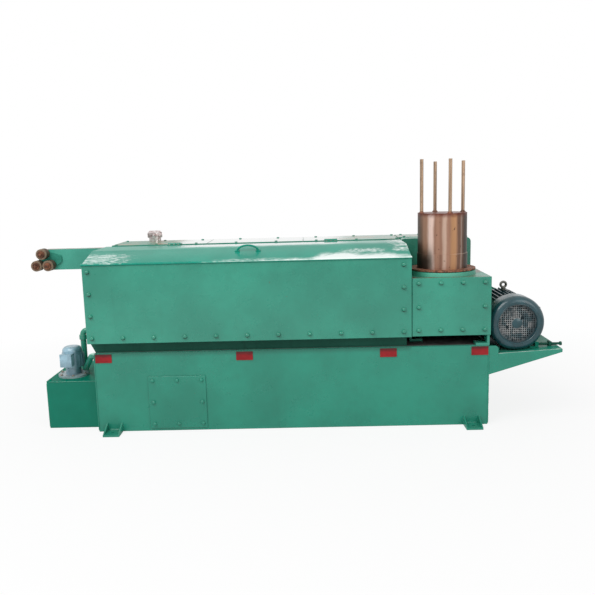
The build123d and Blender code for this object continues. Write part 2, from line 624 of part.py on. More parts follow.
def drum_housing():
    """Closed housing under the drum, with a bolted front cover, feet and a bearing ring."""
    body = block(HOUSING_LEFT, HOUSING_RIGHT, FRONT, CHAMBER_REAR, HOUSING_BOTTOM, HOUSING_TOP)
    shaft_end = FLANGE_BOTTOM - DRUM_SHAFT_DEPTH
    bore = upright(DRUM_X, DRUM_Y, shaft_end - DRUM_RUNNING_GAP, FLANGE_TOP, DRUM_SHAFT_R + SHAFT_CLEARANCE)
    nodes["drum_housing"] = body - bore
    nodes["drum_housing_cover"] = block(HOUSING_LEFT, HOUSING_RIGHT, FRONT - HOUSING_COVER, FRONT,
                                        HOUSING_BOTTOM, HOUSING_TOP)
    feet = []
    web_bottom = BASE_HEIGHT + HOUSING_FOOT_PLATE
    for wall, inward, front in ((HOUSING_LEFT + HOUSING_FOOT_INSET, 1, FRONT + HOUSING_LEFT_FOOT_SETBACK),
                                (HOUSING_RIGHT - HOUSING_FOOT_INSET, -1, FRONT)):
        for y in (front, CHAMBER_REAR - HOUSING_FOOT_DEPTH):
            tip = wall + inward * HOUSING_FOOT_LENGTH
            web = wall + inward * HOUSING_FOOT_PLATE
            foot = block(min(wall, tip), max(wall, tip), y, y + HOUSING_FOOT_DEPTH, BASE_HEIGHT, web_bottom)
            foot += block(min(wall, web), max(wall, web), y, y + HOUSING_FOOT_DEPTH,
                          web_bottom, HOUSING_BOTTOM)
            feet.append(foot)
    nodes["drum_housing_feet"] = together(feet)
    ring = upright(DRUM_X, DRUM_Y, HOUSING_TOP, RING_TOP, RING_R)
    nodes["drum_bearing_ring"] = ring - bore


def drum():
    """Take-up drum: shaft and flange, hollow barrel with a wider working foot, and four upright rods."""
    shaft_end = FLANGE_BOTTOM - DRUM_SHAFT_DEPTH
    flange = [(0, shaft_end), (DRUM_SHAFT_R, shaft_end), (DRUM_SHAFT_R, FLANGE_BOTTOM),
              (DRUM_FLANGE_R, FLANGE_BOTTOM), (DRUM_FLANGE_R, FLANGE_TOP), (0, FLANGE_TOP)]
    nodes["drum_flange"] = spun_upright(flange, DRUM_X, DRUM_Y)
    step = FLANGE_TOP + DRUM_FOOT_HEIGHT
    inner = DRUM_R - DRUM_WALL
    barrel = [(inner, FLANGE_TOP), (DRUM_FOOT_R, FLANGE_TOP), (DRUM_FOOT_R, step), (DRUM_R, step),
              (DRUM_R, DRUM_TOP), (0, DRUM_TOP), (0, DRUM_TOP - DRUM_WALL), (inner, DRUM_TOP - DRUM_WALL)]
    nodes["drum_barrel"] = spun_upright(barrel, DRUM_X, DRUM_Y)
    rods = []
    for index, trim in enumerate(ROD_TRIMS):
        angle = math.radians(ROD_TURN + index * 360 / len(ROD_TRIMS))
        rods.append(upright(DRUM_X + ROD_CIRCLE_R * math.cos(angle), DRUM_Y + ROD_CIRCLE_R * math.sin(angle),
                            DRUM_TOP, DRUM_TOP + ROD_LENGTH + trim, ROD_D / 2))
    nodes["drum_rods"] = together(rods)


def inlet_arm():
    """Rolled channel with its web to the front, and a plate that carries the roller pins."""
    left = LEFT - ARM_LENGTH
    web_rear = ARM_Y + ARM_WEB
    bottom = ARM_TOP - ARM_HEIGHT
    outline = [(ARM_Y, bottom), (ARM_Y + ARM_DEPTH, bottom), (ARM_Y + ARM_DEPTH, bottom + ARM_FLANGE),
               (web_rear, bottom + ARM_FLANGE), (web_rear, ARM_TOP - ARM_FLANGE),
               (ARM_Y + ARM_DEPTH, ARM_TOP - ARM_FLANGE), (ARM_Y + ARM_DEPTH, ARM_TOP), (ARM_Y, ARM_TOP)]
    arm = side_profile(outline, left, LEFT - ARM_END_PLATE)
    arm += block(LEFT - ARM_END_PLATE, LEFT, WIRE_Y + WIRE_SLOT / 2, ARM_Y + ARM_DEPTH + ARM_END_PLATE_MARGIN,
                 bottom - ARM_END_PLATE_MARGIN, ARM_TOP)
    nodes["guide_arm"] = arm


def roller_places():
    """Node name and (X, Z) of each guide roller: one above the wire, two below."""
    return [("guide_roller_upper", ROLLER_X, WIRE_Z + ROLLER_RISE),
            ("guide_roller_lower_left", ROLLER_X - ROLLER_PITCH / 2, WIRE_Z - ROLLER_RISE),
            ("guide_roller_lower_right", ROLLER_X + ROLLER_PITCH / 2, WIRE_Z - ROLLER_RISE)]


def guide_rollers():
    """Carrier plate with three capped pins, and a shallow-grooved roller on each."""
    corners = []
    pins = None
    bore = ROLLER_PIN_R + ROLLER_CLEARANCE
    cap_front = ROLLER_FRONT - ROLLER_SIDE_GAP
    for name, x, z in roller_places():
        corners += (Pos(x, z) * Circle(CARRIER_CORNER_R)).edges()
        pin = along_y(x, z, cap_front, CARRIER_Y, ROLLER_PIN_R)
        pin += along_y(x, z, cap_front - ROLLER_CAP, cap_front, ROLLER_CAP_R)
        pin += along_y(x, z, ROLLER_REAR, CARRIER_Y, ROLLER_CAP_R)
        pins = pin if pins is None else pins + pin
        edge = ROLLER_D / 2
        outline = [(bore, ROLLER_FRONT), (edge, ROLLER_FRONT), (edge, WIRE_Y - 2 * ROLLER_GROOVE),
                   (edge - ROLLER_GROOVE, WIRE_Y), (edge, WIRE_Y + 2 * ROLLER_GROOVE), (edge, ROLLER_REAR),
                   (bore, ROLLER_REAR)]
        nodes[name] = spun_along_y(outline, x, z)
    tail = Pos(LEFT - ARM_LENGTH + CARRIER_TAIL / 2, WIRE_Z) * Rectangle(CARRIER_TAIL, ROLLER_RISE)
    plate = make_hull(corners + tail.edges())
    nodes["roller_carrier"] = front_profile(plate, CARRIER_Y, ARM_Y) + pins


def coolant_tank():
    """Sheet tank on the floor against the base's left end, with its top plate."""
    rear = TANK_FRONT + TANK_DEPTH
    shell = block(TANK_LEFT, LEFT, TANK_FRONT, rear, 0, TANK_HEIGHT)
    shell -= block(TANK_LEFT + TANK_SHEET, LEFT - TANK_SHEET, TANK_FRONT + TANK_SHEET, rear - TANK_SHEET,
                   TANK_SHEET, TANK_HEIGHT + TANK_SHEET)
    nodes["tank_shell"] = shell
    nodes["tank_top"] = block(TANK_LEFT, LEFT, TANK_FRONT, rear, TANK_HEIGHT, TANK_TOP)


def coolant_pump():
    """Upright pump: round flange with a pipe boss, motor body with its cowl and a terminal box in front."""
    flange_top = TANK_TOP + PUMP_FLANGE
    flange = upright(PUMP_X, PUMP_Y, TANK_TOP, flange_top, PUMP_FLANGE_D / 2)
    boss_x = PUMP_X + RETURN_BOSS_FROM_PUMP
    boss_y = PUMP_Y + RETURN_BOSS_BEHIND_PUMP
    flange += upright(boss_x, boss_y, flange_top, flange_top + RETURN_BOSS, RETURN_BOSS_D / 2)
    nodes["pump_flange"] = flange
    body_bottom = flange_top + PUMP_NECK
    body_top = body_bottom + PUMP_BODY_HEIGHT
    cowl_top = body_top + PUMP_COWL_HEIGHT
    radius = PUMP_BODY_D / 2
    cowl = upright(PUMP_X, PUMP_Y, body_top, cowl_top, PUMP_COWL_D / 2)
    cowl_edge = cowl.edges().filter_by(GeomType.CIRCLE).sort_by(Axis.Z)[-1]
    motor = upright(PUMP_X, PUMP_Y, flange_top, body_bottom, PUMP_NECK_D / 2)
    motor += upright(PUMP_X, PUMP_Y, body_bottom, body_top, radius) + fillet(cowl_edge, PUMP_COWL_EDGE)
    rib = block(PUMP_COWL_D / 4, radius + PUMP_RIB, -PUMP_RIB / 2, PUMP_RIB / 2,
                body_bottom + PUMP_RIB_END, body_top - PUMP_RIB_END)
    for index in range(PUMP_RIB_COUNT):
        motor += Pos(PUMP_X, PUMP_Y, 0) * Rot(0, 0, index * 360 / PUMP_RIB_COUNT) * rib
    box_bottom = flange_top + PUMP_BOX_ABOVE_FLANGE
    box = block(-PUMP_BOX_WIDTH / 2, PUMP_BOX_WIDTH / 2, -radius - PUMP_BOX_DEPTH, 0,
                box_bottom, box_bottom + PUMP_BOX_HEIGHT)
    motor += Pos(PUMP_X, PUMP_Y, 0) * Rot(0, 0, -PUMP_BOX_TURN) * box
    nodes["pump_motor"] = motor


def tube(points, radius, bend):
    """Round bar along straight runs with rounded corners."""
    path = FilletPolyline(*points, radius=bend)
    return sweep(Plane(origin=path @ 0, z_dir=path % 0) * Circle(radius), path=path)


def coolant_pipes():
    """Riser from the tank to the chamber's end wall, and the return from the base to the pump's flange."""
    x = LEFT - RISER_FROM_WALL
    y = FRONT + RISER_FROM_FRONT
    z = CHAMBER_BOTTOM + RISER_ABOVE_FLOOR
    riser = tube([(x, y, TANK_TOP), (x, y, z), (LEFT, y, z)], RISER_D / 2, RISER_BEND)
    union_top = z - RISER_BEND
    riser += upright(x, y, union_top - RISER_UNION, union_top, RISER_UNION_D / 2)
    riser += along_x(y, z, x + RISER_BEND, x + RISER_BEND + RISER_UNION, RISER_UNION_D / 2)
    nodes["riser_pipe"] = riser
    y = FRONT + RETURN_FROM_FRONT
    z = BASE_HEIGHT - RETURN_BELOW_TOP
    boss_top = TANK_TOP + PUMP_FLANGE + RETURN_BOSS
    knee = Vector(LEFT - RETURN_KNEE_FROM_WALL, y, z)
    foot = Vector(PUMP_X + RETURN_BOSS_FROM_PUMP, PUMP_Y + RETURN_BOSS_BEHIND_PUMP, boss_top)
    below = foot + (foot - knee).normalized() * RETURN_BOSS_D
    pipe = tube([(LEFT, y, z), knee, below], RETURN_D / 2, RETURN_BEND)
    pipe -= block(below.X - RETURN_BOSS_D, LEFT, FRONT, below.Y + RETURN_BOSS_D, 0, boss_top)
    nodes["return_pipe"] = pipe


def deck_top(x):
    """Height of the deck, which rises from the base to its tip."""
    return BRACKET_TOP + DECK_RISE * (x - RIGHT) / BRACKET_LENGTH


def on_deck(x0, x1, y0, y1, top):
    """Block that stands on the sloping deck, with a level top."""
    outline = polygon([(x0, deck_top(x0)), (x1, deck_top(x1)), (x1, top), (x0, top)])
    return front_profile(outline, y0, y1)


def motor_bracket():
    """Sloping deck between a face plate and a rear gusset, with levelling rails and belt tension screws."""
    tip = RIGHT + BRACKET_LENGTH
    rear = BRACKET_FRONT + BRACKET_DEPTH
    outline = polygon([(RIGHT, BRACKET_TOP - BRACKET_PLATE), (tip, deck_top(tip) - BRACKET_PLATE),
                       (tip, deck_top(tip)), (RIGHT, BRACKET_TOP)])
    deck = front_profile(outline, BRACKET_FRONT, rear)
    rail_front = MOTOR_BODY_FRONT + MOTOR_FOOT_FROM_BODY - RAIL_FRONT_END
    rail_rear = MOTOR_BODY_REAR - MOTOR_FOOT_FROM_BODY + RAIL_REAR_END
    for side in (-1, 1):
        x = MOTOR_X + side * MOTOR_FOOT_GAUGE / 2
        deck += on_deck(x - RAIL_WIDTH / 2, x + RAIL_WIDTH / 2, rail_front, rail_rear, RAIL_TOP)
    outline = polygon([(RIGHT, BRACKET_TOP - BRACKET_ROOT), (tip, deck_top(tip) - BRACKET_TIP),
                       (tip, deck_top(tip) - BRACKET_PLATE), (RIGHT, BRACKET_TOP - BRACKET_PLATE)])
    lug_end = RIGHT + LUG_REACH
    lug_bottom = BASE_HEIGHT - LUG_BELOW_TOP - LUG_HEIGHT
    face = polygon([(RIGHT, BRACKET_TOP - BRACKET_ROOT), (tip, deck_top(tip) - BRACKET_TIP),
                    (tip, deck_top(tip)), (lug_end, deck_top(lug_end)), (lug_end, lug_bottom),
                    (RIGHT, lug_bottom)])
    nodes["bracket_gussets"] = together([front_profile(face, FRONT, BRACKET_FRONT),
                                         front_profile(outline, rear - BRACKET_PLATE, rear)])
    screws = []
    rail_edge = MOTOR_X + MOTOR_FOOT_GAUGE / 2 + RAIL_WIDTH / 2
    lug_right = tip - JACK_FROM_TIP
    z = RAIL_TOP + JACK_ABOVE_RAIL
    lug_top = z + JACK_LUG_MARGIN
    for y in (rail_front + JACK_FROM_EDGE, rail_rear - JACK_FROM_EDGE):
        y0 = y - JACK_LUG_WIDTH / 2
        y1 = y + JACK_LUG_WIDTH / 2
        deck += block(rail_edge - JACK_THRUST, rail_edge, y0, y1, RAIL_TOP, lug_top)
        screw = on_deck(lug_right - JACK_LUG, lug_right, y0, y1, lug_top)
        screw += along_x(y, z, rail_edge, lug_right + JACK_REACH, JACK_SCREW_D / 2)
        head = Rot(0, 90, 0) * extrude(RegularPolygon(JACK_HEAD_D / 2, 6), amount=JACK_HEAD)
        screw += Pos(lug_right + JACK_REACH, y, z) * head
        screws.append(screw)
    nodes["bracket_deck"] = deck
    nodes["tension_screws"] = together(screws)


def motor_frame():
    """Cast motor frame with an end ring that the fan cover seats on, cooling fins all round, and two feet."""
    frame = along_y(MOTOR_X, MOTOR_Z, MOTOR_BODY_FRONT, MOTOR_BODY_REAR, MOTOR_BODY_R)
    ring_rear = MOTOR_BODY_FRONT + MOTOR_END_RING
    frame += along_y(MOTOR_X, MOTOR_Z, MOTOR_BODY_FRONT, ring_rear, MOTOR_COWL_R)
    fin = block(MOTOR_BODY_R / 2, MOTOR_FIN_R, ring_rear, MOTOR_BODY_REAR - MOTOR_FIN,
                -MOTOR_FIN / 2, MOTOR_FIN / 2)
    count = int(360 / MOTOR_FIN_STEP)
    fins = [Rot(0, index * 360 / count, 0) * fin for index in range(count)]
    frame += [Pos(MOTOR_X, 0, MOTOR_Z) * one for one in fins]
    front = MOTOR_BODY_FRONT + MOTOR_FOOT_FROM_BODY
    rear = front + MOTOR_FOOT_LENGTH
    bottom = RAIL_TOP
    for side in (-1, 1):
        x = MOTOR_X + side * MOTOR_FOOT_GAUGE / 2
        foot = block(x - MOTOR_FOOT_WIDTH / 2, x + MOTOR_FOOT_WIDTH / 2, front, rear,
                     bottom, bottom + MOTOR_FOOT_PLATE)
        inner = x - side * MOTOR_FOOT_WIDTH / 2
        outer = x + side * MOTOR_FOOT_WIDTH / 4
        flank = polygon([(inner, bottom + MOTOR_FOOT_PLATE), (outer, bottom + MOTOR_FOOT_PLATE),
                         (outer, MOTOR_Z - MOTOR_BODY_R / 3), (inner, MOTOR_Z - MOTOR_BODY_R / 3)])
        frame += foot
        frame += front_profile(flank, front, rear)
    nodes["motor_frame"] = frame


def rounded_drum(front, rear, radius, edge):
    """Cylinder along the motor's axis with a rounded front edge."""
    plain = along_y(MOTOR_X, MOTOR_Z, front, rear, radius)
    rim = plain.edges().filter_by(GeomType.CIRCLE).sort_by(Axis.Y)[0]
    return fillet(rim, edge)


def motor_fan_cover():
    """Pressed fan cover with a rounded edge, and a perforated guard plate on the rear of its throat."""
    front = MOTOR_Y
    seat = front + GRILLE_RECESS
    cover = rounded_drum(front, MOTOR_BODY_FRONT, MOTOR_COWL_R, MOTOR_COWL_EDGE)
    cover -= rounded_drum(front + MOTOR_COWL_SHEET, MOTOR_BODY_FRONT + MOTOR_COWL_SHEET,
                          MOTOR_COWL_R - MOTOR_COWL_SHEET, MOTOR_COWL_EDGE - MOTOR_COWL_SHEET)
    cover += along_y(MOTOR_X, MOTOR_Z, front, seat, MOTOR_GRILLE_R + MOTOR_COWL_SHEET)
    cover -= along_y(MOTOR_X, MOTOR_Z, front - MOTOR_COWL_SHEET, seat + MOTOR_COWL_SHEET, MOTOR_GRILLE_R)
    nodes["motor_fan_cover"] = cover
    holes = []
    steps = int(MOTOR_GRILLE_R / GRILLE_PITCH)
    for column in range(-steps, steps + 1):
        for row in range(-steps, steps + 1):
            reach = math.hypot(column, row) * GRILLE_PITCH
            if MOTOR_HUB_R + GRILLE_HOLE / 2 < reach < MOTOR_GRILLE_R - GRILLE_HOLE:
                place = Pos(column * GRILLE_PITCH, row * GRILLE_PITCH)
                holes.append(place * Rectangle(GRILLE_HOLE, GRILLE_HOLE))
    plate = Circle(MOTOR_GRILLE_R + GRILLE_SEAT) - holes
    nodes["motor_grille"] = Pos(MOTOR_X, 0, MOTOR_Z) * front_profile(plate, seat, seat + GRILLE_SHEET)


def motor_trim():
    """Drive-end shield with the shaft, terminal box on the outer side, and the lifting eye."""
    rear = MOTOR_BODY_REAR
    rim_end = rear + MOTOR_SHIELD_RIM
    nose_end = rear + MOTOR_SHIELD_LENGTH
    shaft_end = GUARD_FRONT + MOTOR_SHAFT_IN_GUARD
    outline = [(0, rear), (MOTOR_SHIELD_R, rear), (MOTOR_SHIELD_R, rim_end), (MOTOR_NOSE_R, nose_end),
               (MOTOR_SHAFT_R, nose_end), (MOTOR_SHAFT_R, shaft_end), (0, shaft_end)]
    nodes["motor_end_shield"] = spun_along_y(outline, MOTOR_X, MOTOR_Z)
    y = MOTOR_BODY_FRONT + TERMINAL_BOX_PLACE * MOTOR_BODY_LENGTH
    box = block(MOTOR_X + MOTOR_FIN_R, MOTOR_X + MOTOR_FIN_R + TERMINAL_BOX_DEPTH,
                y - TERMINAL_BOX_WIDTH / 2, y + TERMINAL_BOX_WIDTH / 2,
                MOTOR_Z - TERMINAL_BOX_HEIGHT / 2, MOTOR_Z + TERMINAL_BOX_HEIGHT / 2)
    nodes["motor_terminal_box"] = box
    y = MOTOR_BODY_FRONT + EYE_PLACE * MOTOR_BODY_LENGTH
    top = MOTOR_Z + MOTOR_FIN_R
    ring_z = top + EYE_COLLAR + EYE_RING_R
    eye = upright(MOTOR_X, y, top, top + EYE_COLLAR, EYE_COLLAR_R)
    eye += Pos(MOTOR_X, y, ring_z) * Rot(90, 0, 0) * Torus(EYE_RING_R, EYE_WIRE_R)
    nodes["motor_eyebolt"] = eye


base_box()
red_pads()
anchor_feet()
corner_lug()
chamber()
capstans_and_dies()
lid_handle(lid())
hinges()
gearbox()
belt_guard()
drum_housing()
drum()
inlet_arm()
guide_rollers()
coolant_tank()
coolant_pump()
coolant_pipes()
motor_bracket()
motor_frame()
motor_fan_cover()
motor_trim()

os.makedirs("parts", exist_ok=True)
for name, shape in nodes.items():
    export_step(shape, f"parts/{name}.step")
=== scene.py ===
import math
import random

import bmesh
import bpy
from mathutils import Matrix, Vector


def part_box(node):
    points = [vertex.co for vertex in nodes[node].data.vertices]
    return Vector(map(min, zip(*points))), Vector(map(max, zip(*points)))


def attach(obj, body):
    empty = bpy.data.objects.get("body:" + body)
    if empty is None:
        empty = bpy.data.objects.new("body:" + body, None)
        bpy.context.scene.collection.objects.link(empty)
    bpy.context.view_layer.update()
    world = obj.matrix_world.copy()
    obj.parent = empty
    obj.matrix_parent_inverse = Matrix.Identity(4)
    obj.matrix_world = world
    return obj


# The wire drawing machine as the photo shows it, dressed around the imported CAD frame. Metres, +Z up.

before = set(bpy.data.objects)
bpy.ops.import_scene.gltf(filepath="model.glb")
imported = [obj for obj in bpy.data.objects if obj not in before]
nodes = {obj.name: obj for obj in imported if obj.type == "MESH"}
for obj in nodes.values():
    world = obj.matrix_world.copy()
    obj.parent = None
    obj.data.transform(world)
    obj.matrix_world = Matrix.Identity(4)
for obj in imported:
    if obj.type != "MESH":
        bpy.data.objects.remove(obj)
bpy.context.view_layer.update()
chance = random.Random(7)

# The photo's camera, fitted to the edges of the base and the chamber
CAMERA_PLACE = (0.1528, -5.3365, 1.7393)
CAMERA_YAW = -0.0191
CAMERA_PITCH = 0.1622
CAMERA_ROLL = 0.0266
CAMERA_LENS = 42.15
SENSOR = 36.0


def place_camera():
    """Camera at the photo's angle."""
    ahead = Vector((math.sin(CAMERA_YAW) * math.cos(CAMERA_PITCH),
                    math.cos(CAMERA_YAW) * math.cos(CAMERA_PITCH), -math.sin(CAMERA_PITCH)))
    level = Vector((math.cos(CAMERA_YAW), -math.sin(CAMERA_YAW), 0.0))
    below = ahead.cross(level)
    right = math.cos(CAMERA_ROLL) * level + math.sin(CAMERA_ROLL) * below
    down = math.cos(CAMERA_ROLL) * below - math.sin(CAMERA_ROLL) * level
    camera = bpy.data.objects.new("camera", bpy.data.cameras.new("camera"))
    camera.data.lens = CAMERA_LENS
    camera.data.sensor_width = SENSOR
    turn = Matrix((right, -down, -ahead)).transposed().to_4x4()
    camera.matrix_world = Matrix.Translation(CAMERA_PLACE) @ turn
    bpy.context.scene.collection.objects.link(camera)
    bpy.context.scene.camera = camera


def tint(red, green, blue):
    """Linear colour of a screen colour given as 0 to 255, by the sRGB curve."""
    values = []
    for part in (red, green, blue):
        share = part / 255
        values.append(share / 12.92 if share <= 0.04045 else ((share + 0.055) / 1.055) ** 2.4)
    return (*values, 1.0)


def shade(tone, factor):
    """Lighter or darker version of a colour."""
    return tuple(min(1.0, part * factor) for part in tone[:3]) + (1.0,)


WHITE = (1, 1, 1, 1)
RUST = tint(104, 58, 36)
DARK_RUST = tint(70, 46, 36)
BROWN_RUST = tint(136, 88, 66)
DUST = tint(142, 132, 108)
BROWN_DUST = tint(112, 104, 84)
GRIME_AND_SHADE = tint(22, 34, 28)
BASE_GREEN = tint(28, 130, 108)
TANK_GREEN = tint(8, 116, 94)

# Fine relief of the paint, in marks per metre
BRUSH_MARKS = 95.0
SPRAY_GRAIN = 140.0

# Painted shade darkens the base's walls under the chamber: up to this stretch of X, and from this stretch
# of Z upward
SHADED_BROW_END = (0.83, 0.87)
SHADED_BROW_FOOT = (0.54, 0.58)

# Heights on the lid: where the painted pale reflection along its lower edge ends, and where its flat top
# begins
REFLECTION_END = (1.224, 1.247)
FLAT_TOP = (1.284, 1.288)

# Heights on the drum: the stained foot's end, a bright line round it, and the start of the rusty rim
DRUM_STAIN = (1.22, 1.34)
DRUM_LINE = 1.219
DRUM_RIM = (1.485, 1.522)

ROLLERS = ("upper", "lower_left", "lower_right")


class NodeTree:
    """Node tree of a material or the world, and short ways to add to it."""

    def __init__(self, owner):
        owner.use_nodes = True
        self.nodes = owner.node_tree.nodes
        self.links = owner.node_tree.links

    def add(self, kind, inputs=None, **settings):
        """New node with some of its properties set, and inputs that are set or joined to other nodes."""
        node = self.nodes.new(kind)
        for key, value in settings.items():
            setattr(node, key, value)
        for key, value in (inputs or {}).items():
            self.feed(node.inputs[key], value)
        return node

    def feed(self, socket, value):
        """Joins another node's output to the socket, or sets its value."""
        if isinstance(value, bpy.types.NodeSocket):
            self.links.new(value, socket)
        else:
            socket.default_value = value

    def arithmetic(self, kind, first, second=0.0, clamp=False):
        """Result of arithmetic on one or two values."""
        node = self.add("ShaderNodeMath", {0: first, 1: second}, operation=kind, use_clamp=clamp)
        return node.outputs[0]

    def plus(self, first, second):
        """Sum of two values."""
        return self.arithmetic("ADD", first, second)

    def times(self, first, second):
        """Product of two values."""
        return self.arithmetic("MULTIPLY", first, second)

    def surface(self, output, share, first, second):
        """Shows a blend of two shaders."""
        blend = self.add("ShaderNodeMixShader", {"Fac": share, 1: first, 2: second})
        self.feed(self.nodes[output].inputs["Surface"], blend.outputs["Shader"])


class Look(NodeTree):
    """A material and short ways to paint it. Patterns follow the model's own coordinates."""

    def __init__(self, name, roughness=0.4, metallic=0.0, coat=0.0, shine=0.5):
        self.material = bpy.data.materials.new(name)
        super().__init__(self.material)
        self.shader = self.nodes["Principled BSDF"]
        self.shader.inputs["Roughness"].default_value = roughness
        self.shader.inputs["Metallic"].default_value = metallic
        self.shader.inputs["Specular IOR Level"].default_value = shine
        self.shader.inputs["Coat Weight"].default_value = coat
        self.shader.inputs["Coat Roughness"].default_value = 0.12
        self.place = self.add("ShaderNodeTexCoord").outputs["Object"]

    def noise(self, scale, detail=5.0, stretch=(1, 1, 1), shift=0.0):
        """Cloudy pattern; scale is per metre, and stretch multiplies it along each axis."""
        mapping = self.add("ShaderNodeMapping",
                           {"Scale": stretch, "Location": (shift, shift, shift), "Vector": self.place})
        cloud = self.add("ShaderNodeTexNoise", {"Scale": scale, "Detail": detail, "Roughness": 0.6,
                                                "Vector": mapping.outputs["Vector"]})
        return cloud.outputs["Fac"]

    def band(self, value, low, high, start=0.0, end=1.0):
        """Smooth change from start at low to end at high."""
        limits = {"From Min": low, "From Max": high, "To Min": start, "To Max": end}
        node = self.add("ShaderNodeMapRange", {"Value": value, **limits}, interpolation_type="SMOOTHSTEP")
        return node.outputs["Result"]

    def window(self, value, opening, closing):
        """Smooth rise from 0 to 1 over the opening pair of values, and fall back over the closing pair."""
        return self.times(self.band(value, *opening), self.band(value, *closing, 1.0, 0.0))

    def wander(self, value, reach, *pattern, **settings):
        """A value moved by up to reach, after a pattern that takes what noise takes."""
        return self.plus(value, self.times(self.noise(*pattern, **settings), reach))

    def distance(self, value, place):
        """How far a value is from a place, on either side of it."""
        return self.arithmetic("ABSOLUTE", self.arithmetic("SUBTRACT", value, place))

    def part(self, vector, axis):
        """One part of a vector."""
        return self.add("ShaderNodeSeparateXYZ", {0: vector}).outputs[axis]

    def along(self, axis):
        """Place along one axis of the model."""
        return self.part(self.place, axis)

    def from_axis(self, x, z):
        """Distance from an axis that runs along Y."""
        across = self.arithmetic("POWER", self.arithmetic("SUBTRACT", self.along("X"), x), 2.0)
        rise = self.arithmetic("POWER", self.arithmetic("SUBTRACT", self.along("Z"), z), 2.0)
        return self.arithmetic("SQRT", self.plus(across, rise))

    def tilt(self):
        """1 on a face that looks straight up, -1 on one that looks straight down."""
        return self.part(self.add("ShaderNodeNewGeometry").outputs["Normal"], "Z")

    def upward(self):
        """1 on faces that look up, 0 on upright ones."""
        return self.band(self.tilt(), 0.55, 0.9)

    def downward(self):
        """1 on faces that look down, 0 on upright ones."""
        return self.band(self.tilt(), -0.6, -0.05, 1.0, 0.0)

    def outer_side(self):
        """1 on the side of a sheet that looks up in its own frame, 0 on its underside."""
        return self.band(self.part(self.add("ShaderNodeTexCoord").outputs["Normal"], "Z"), -0.3, 0.1)

    def mix(self, share, first, second):
        """Colour between two."""
        node = self.add("ShaderNodeMix", {"Factor": share, "A": first, "B": second}, data_type="RGBA")
        return node.outputs["Result"]

    def cloudy(self, tone, scale, detail, darkest, lightest, reach=0.2):
        """A tone that changes from place to place, between two shades of it."""
        clouds = self.band(self.noise(scale, detail), 0.5 - reach, 0.5 + reach)
        return self.mix(clouds, shade(tone, darkest), shade(tone, lightest))

    def rusty(self, bright=1.0):
        """Dark and brown rust in small patches."""
        patches = self.band(self.noise(38.0, 7.0), 0.35, 0.62)
        return self.mix(patches, shade(DARK_RUST, bright), shade(BROWN_RUST, bright))

    def chipped(self, colour, scale, detail, shift, rarity):
        """A colour with small chips down to the rust; higher rarity leaves fewer of them."""
        chips = self.band(self.noise(scale, detail, shift=shift), rarity, rarity + 0.01)
        return self.mix(chips, colour, RUST)

    def colour(self, value):
        """Sets the colour."""
        self.feed(self.shader.inputs["Base Color"], value)

    def rough(self, value):
        """Sets the roughness."""
        self.feed(self.shader.inputs["Roughness"], value)

    def polish(self, share):
        """Dull where share is 0, under bright clear varnish where it is 1."""
        self.rough(self.band(share, 0.0, 1.0, 0.3, 0.1))
        self.feed(self.shader.inputs["Coat Weight"], share)
        self.shader.inputs["Coat IOR"].default_value = 1.8
        self.shader.inputs["Coat Roughness"].default_value = 0.05

    def relief(self, height, depth):
        """Bump of a given depth in metres."""
        bump = self.add("ShaderNodeBump", {"Strength": 0.6, "Distance": depth, "Height": height})
        self.feed(self.shader.inputs["Normal"], bump.outputs["Normal"])


def green_enamel(name, tone, top_share=0.1, grime=0.12, gloss=0.26, top_tone=DUST, shine=0.5, shaded_brow=False,
                 painted_shade=0.0):
    """Brushed green machine enamel: slightly cloudy tone, faint runs, chips, and a top tone on upward
    faces: DUST by default, a painted highlight when pale.

    Options: painted shade on the wall where it runs up under the chamber, and painted shade by a given
    share on faces that look down."""
    look = Look(name, coat=0.4 * shine, shine=shine)
    colour = look.cloudy(tone, 1.7, 4.0, 0.86, 1.15)
    fine = look.band(look.noise(18.0, 6.0, shift=3.0), 0.45, 0.75, 0.0, 0.3)
    colour = look.mix(fine, colour, shade(tone, 0.82))
    runs = look.band(look.noise(1.0, 5.0, (13, 13, 0.9), 5.0), 0.56, 0.8, 0.0, grime)
    colour = look.mix(runs, colour, GRIME_AND_SHADE)
    # Painted shade on the wall where it runs up under the chamber
    if shaded_brow:
        under = look.band(look.along("X"), *SHADED_BROW_END, 0.6, 0.0)
        under = look.times(under, look.band(look.along("Z"), *SHADED_BROW_FOOT))
        colour = look.mix(under, colour, shade(tone, 0.35))
    # Painted shade on faces that look down, in the dark grime colour
    if painted_shade:
        colour = look.mix(look.times(look.downward(), painted_shade), colour, GRIME_AND_SHADE)
    # Top tone on faces that look up: settled grey-brown by default, a painted highlight where the given
    # tone is pale
    top_patches = look.band(look.noise(4.3, 7.0, shift=9.0), 0.36, 0.66, 0.0, top_share)
    colour = look.mix(look.times(look.upward(), top_patches), colour, top_tone)
    look.colour(look.chipped(colour, 34.0, 4.0, 2.0, 0.755))
    look.rough(look.band(look.noise(5.2, 5.0, shift=1.0), 0.3, 0.75, gloss - 0.06, gloss + 0.12))
    look.relief(look.noise(BRUSH_MARKS, 3.0), 0.0005)
    return look.material


def painted_sheen_stretch(look, left, right):
    """1 between the left and right places along X, where a pale reflection is painted on the enamel, less
    beyond them.
    """
    drift = look.wander(look.along("X"), 0.3, 3.0, 6.0, shift=2.0)
    start = look.band(drift, left + 0.1, left + 0.3)
    return look.times(start, look.band(drift, right + 0.05, right + 0.3, 1.0, 0.25))


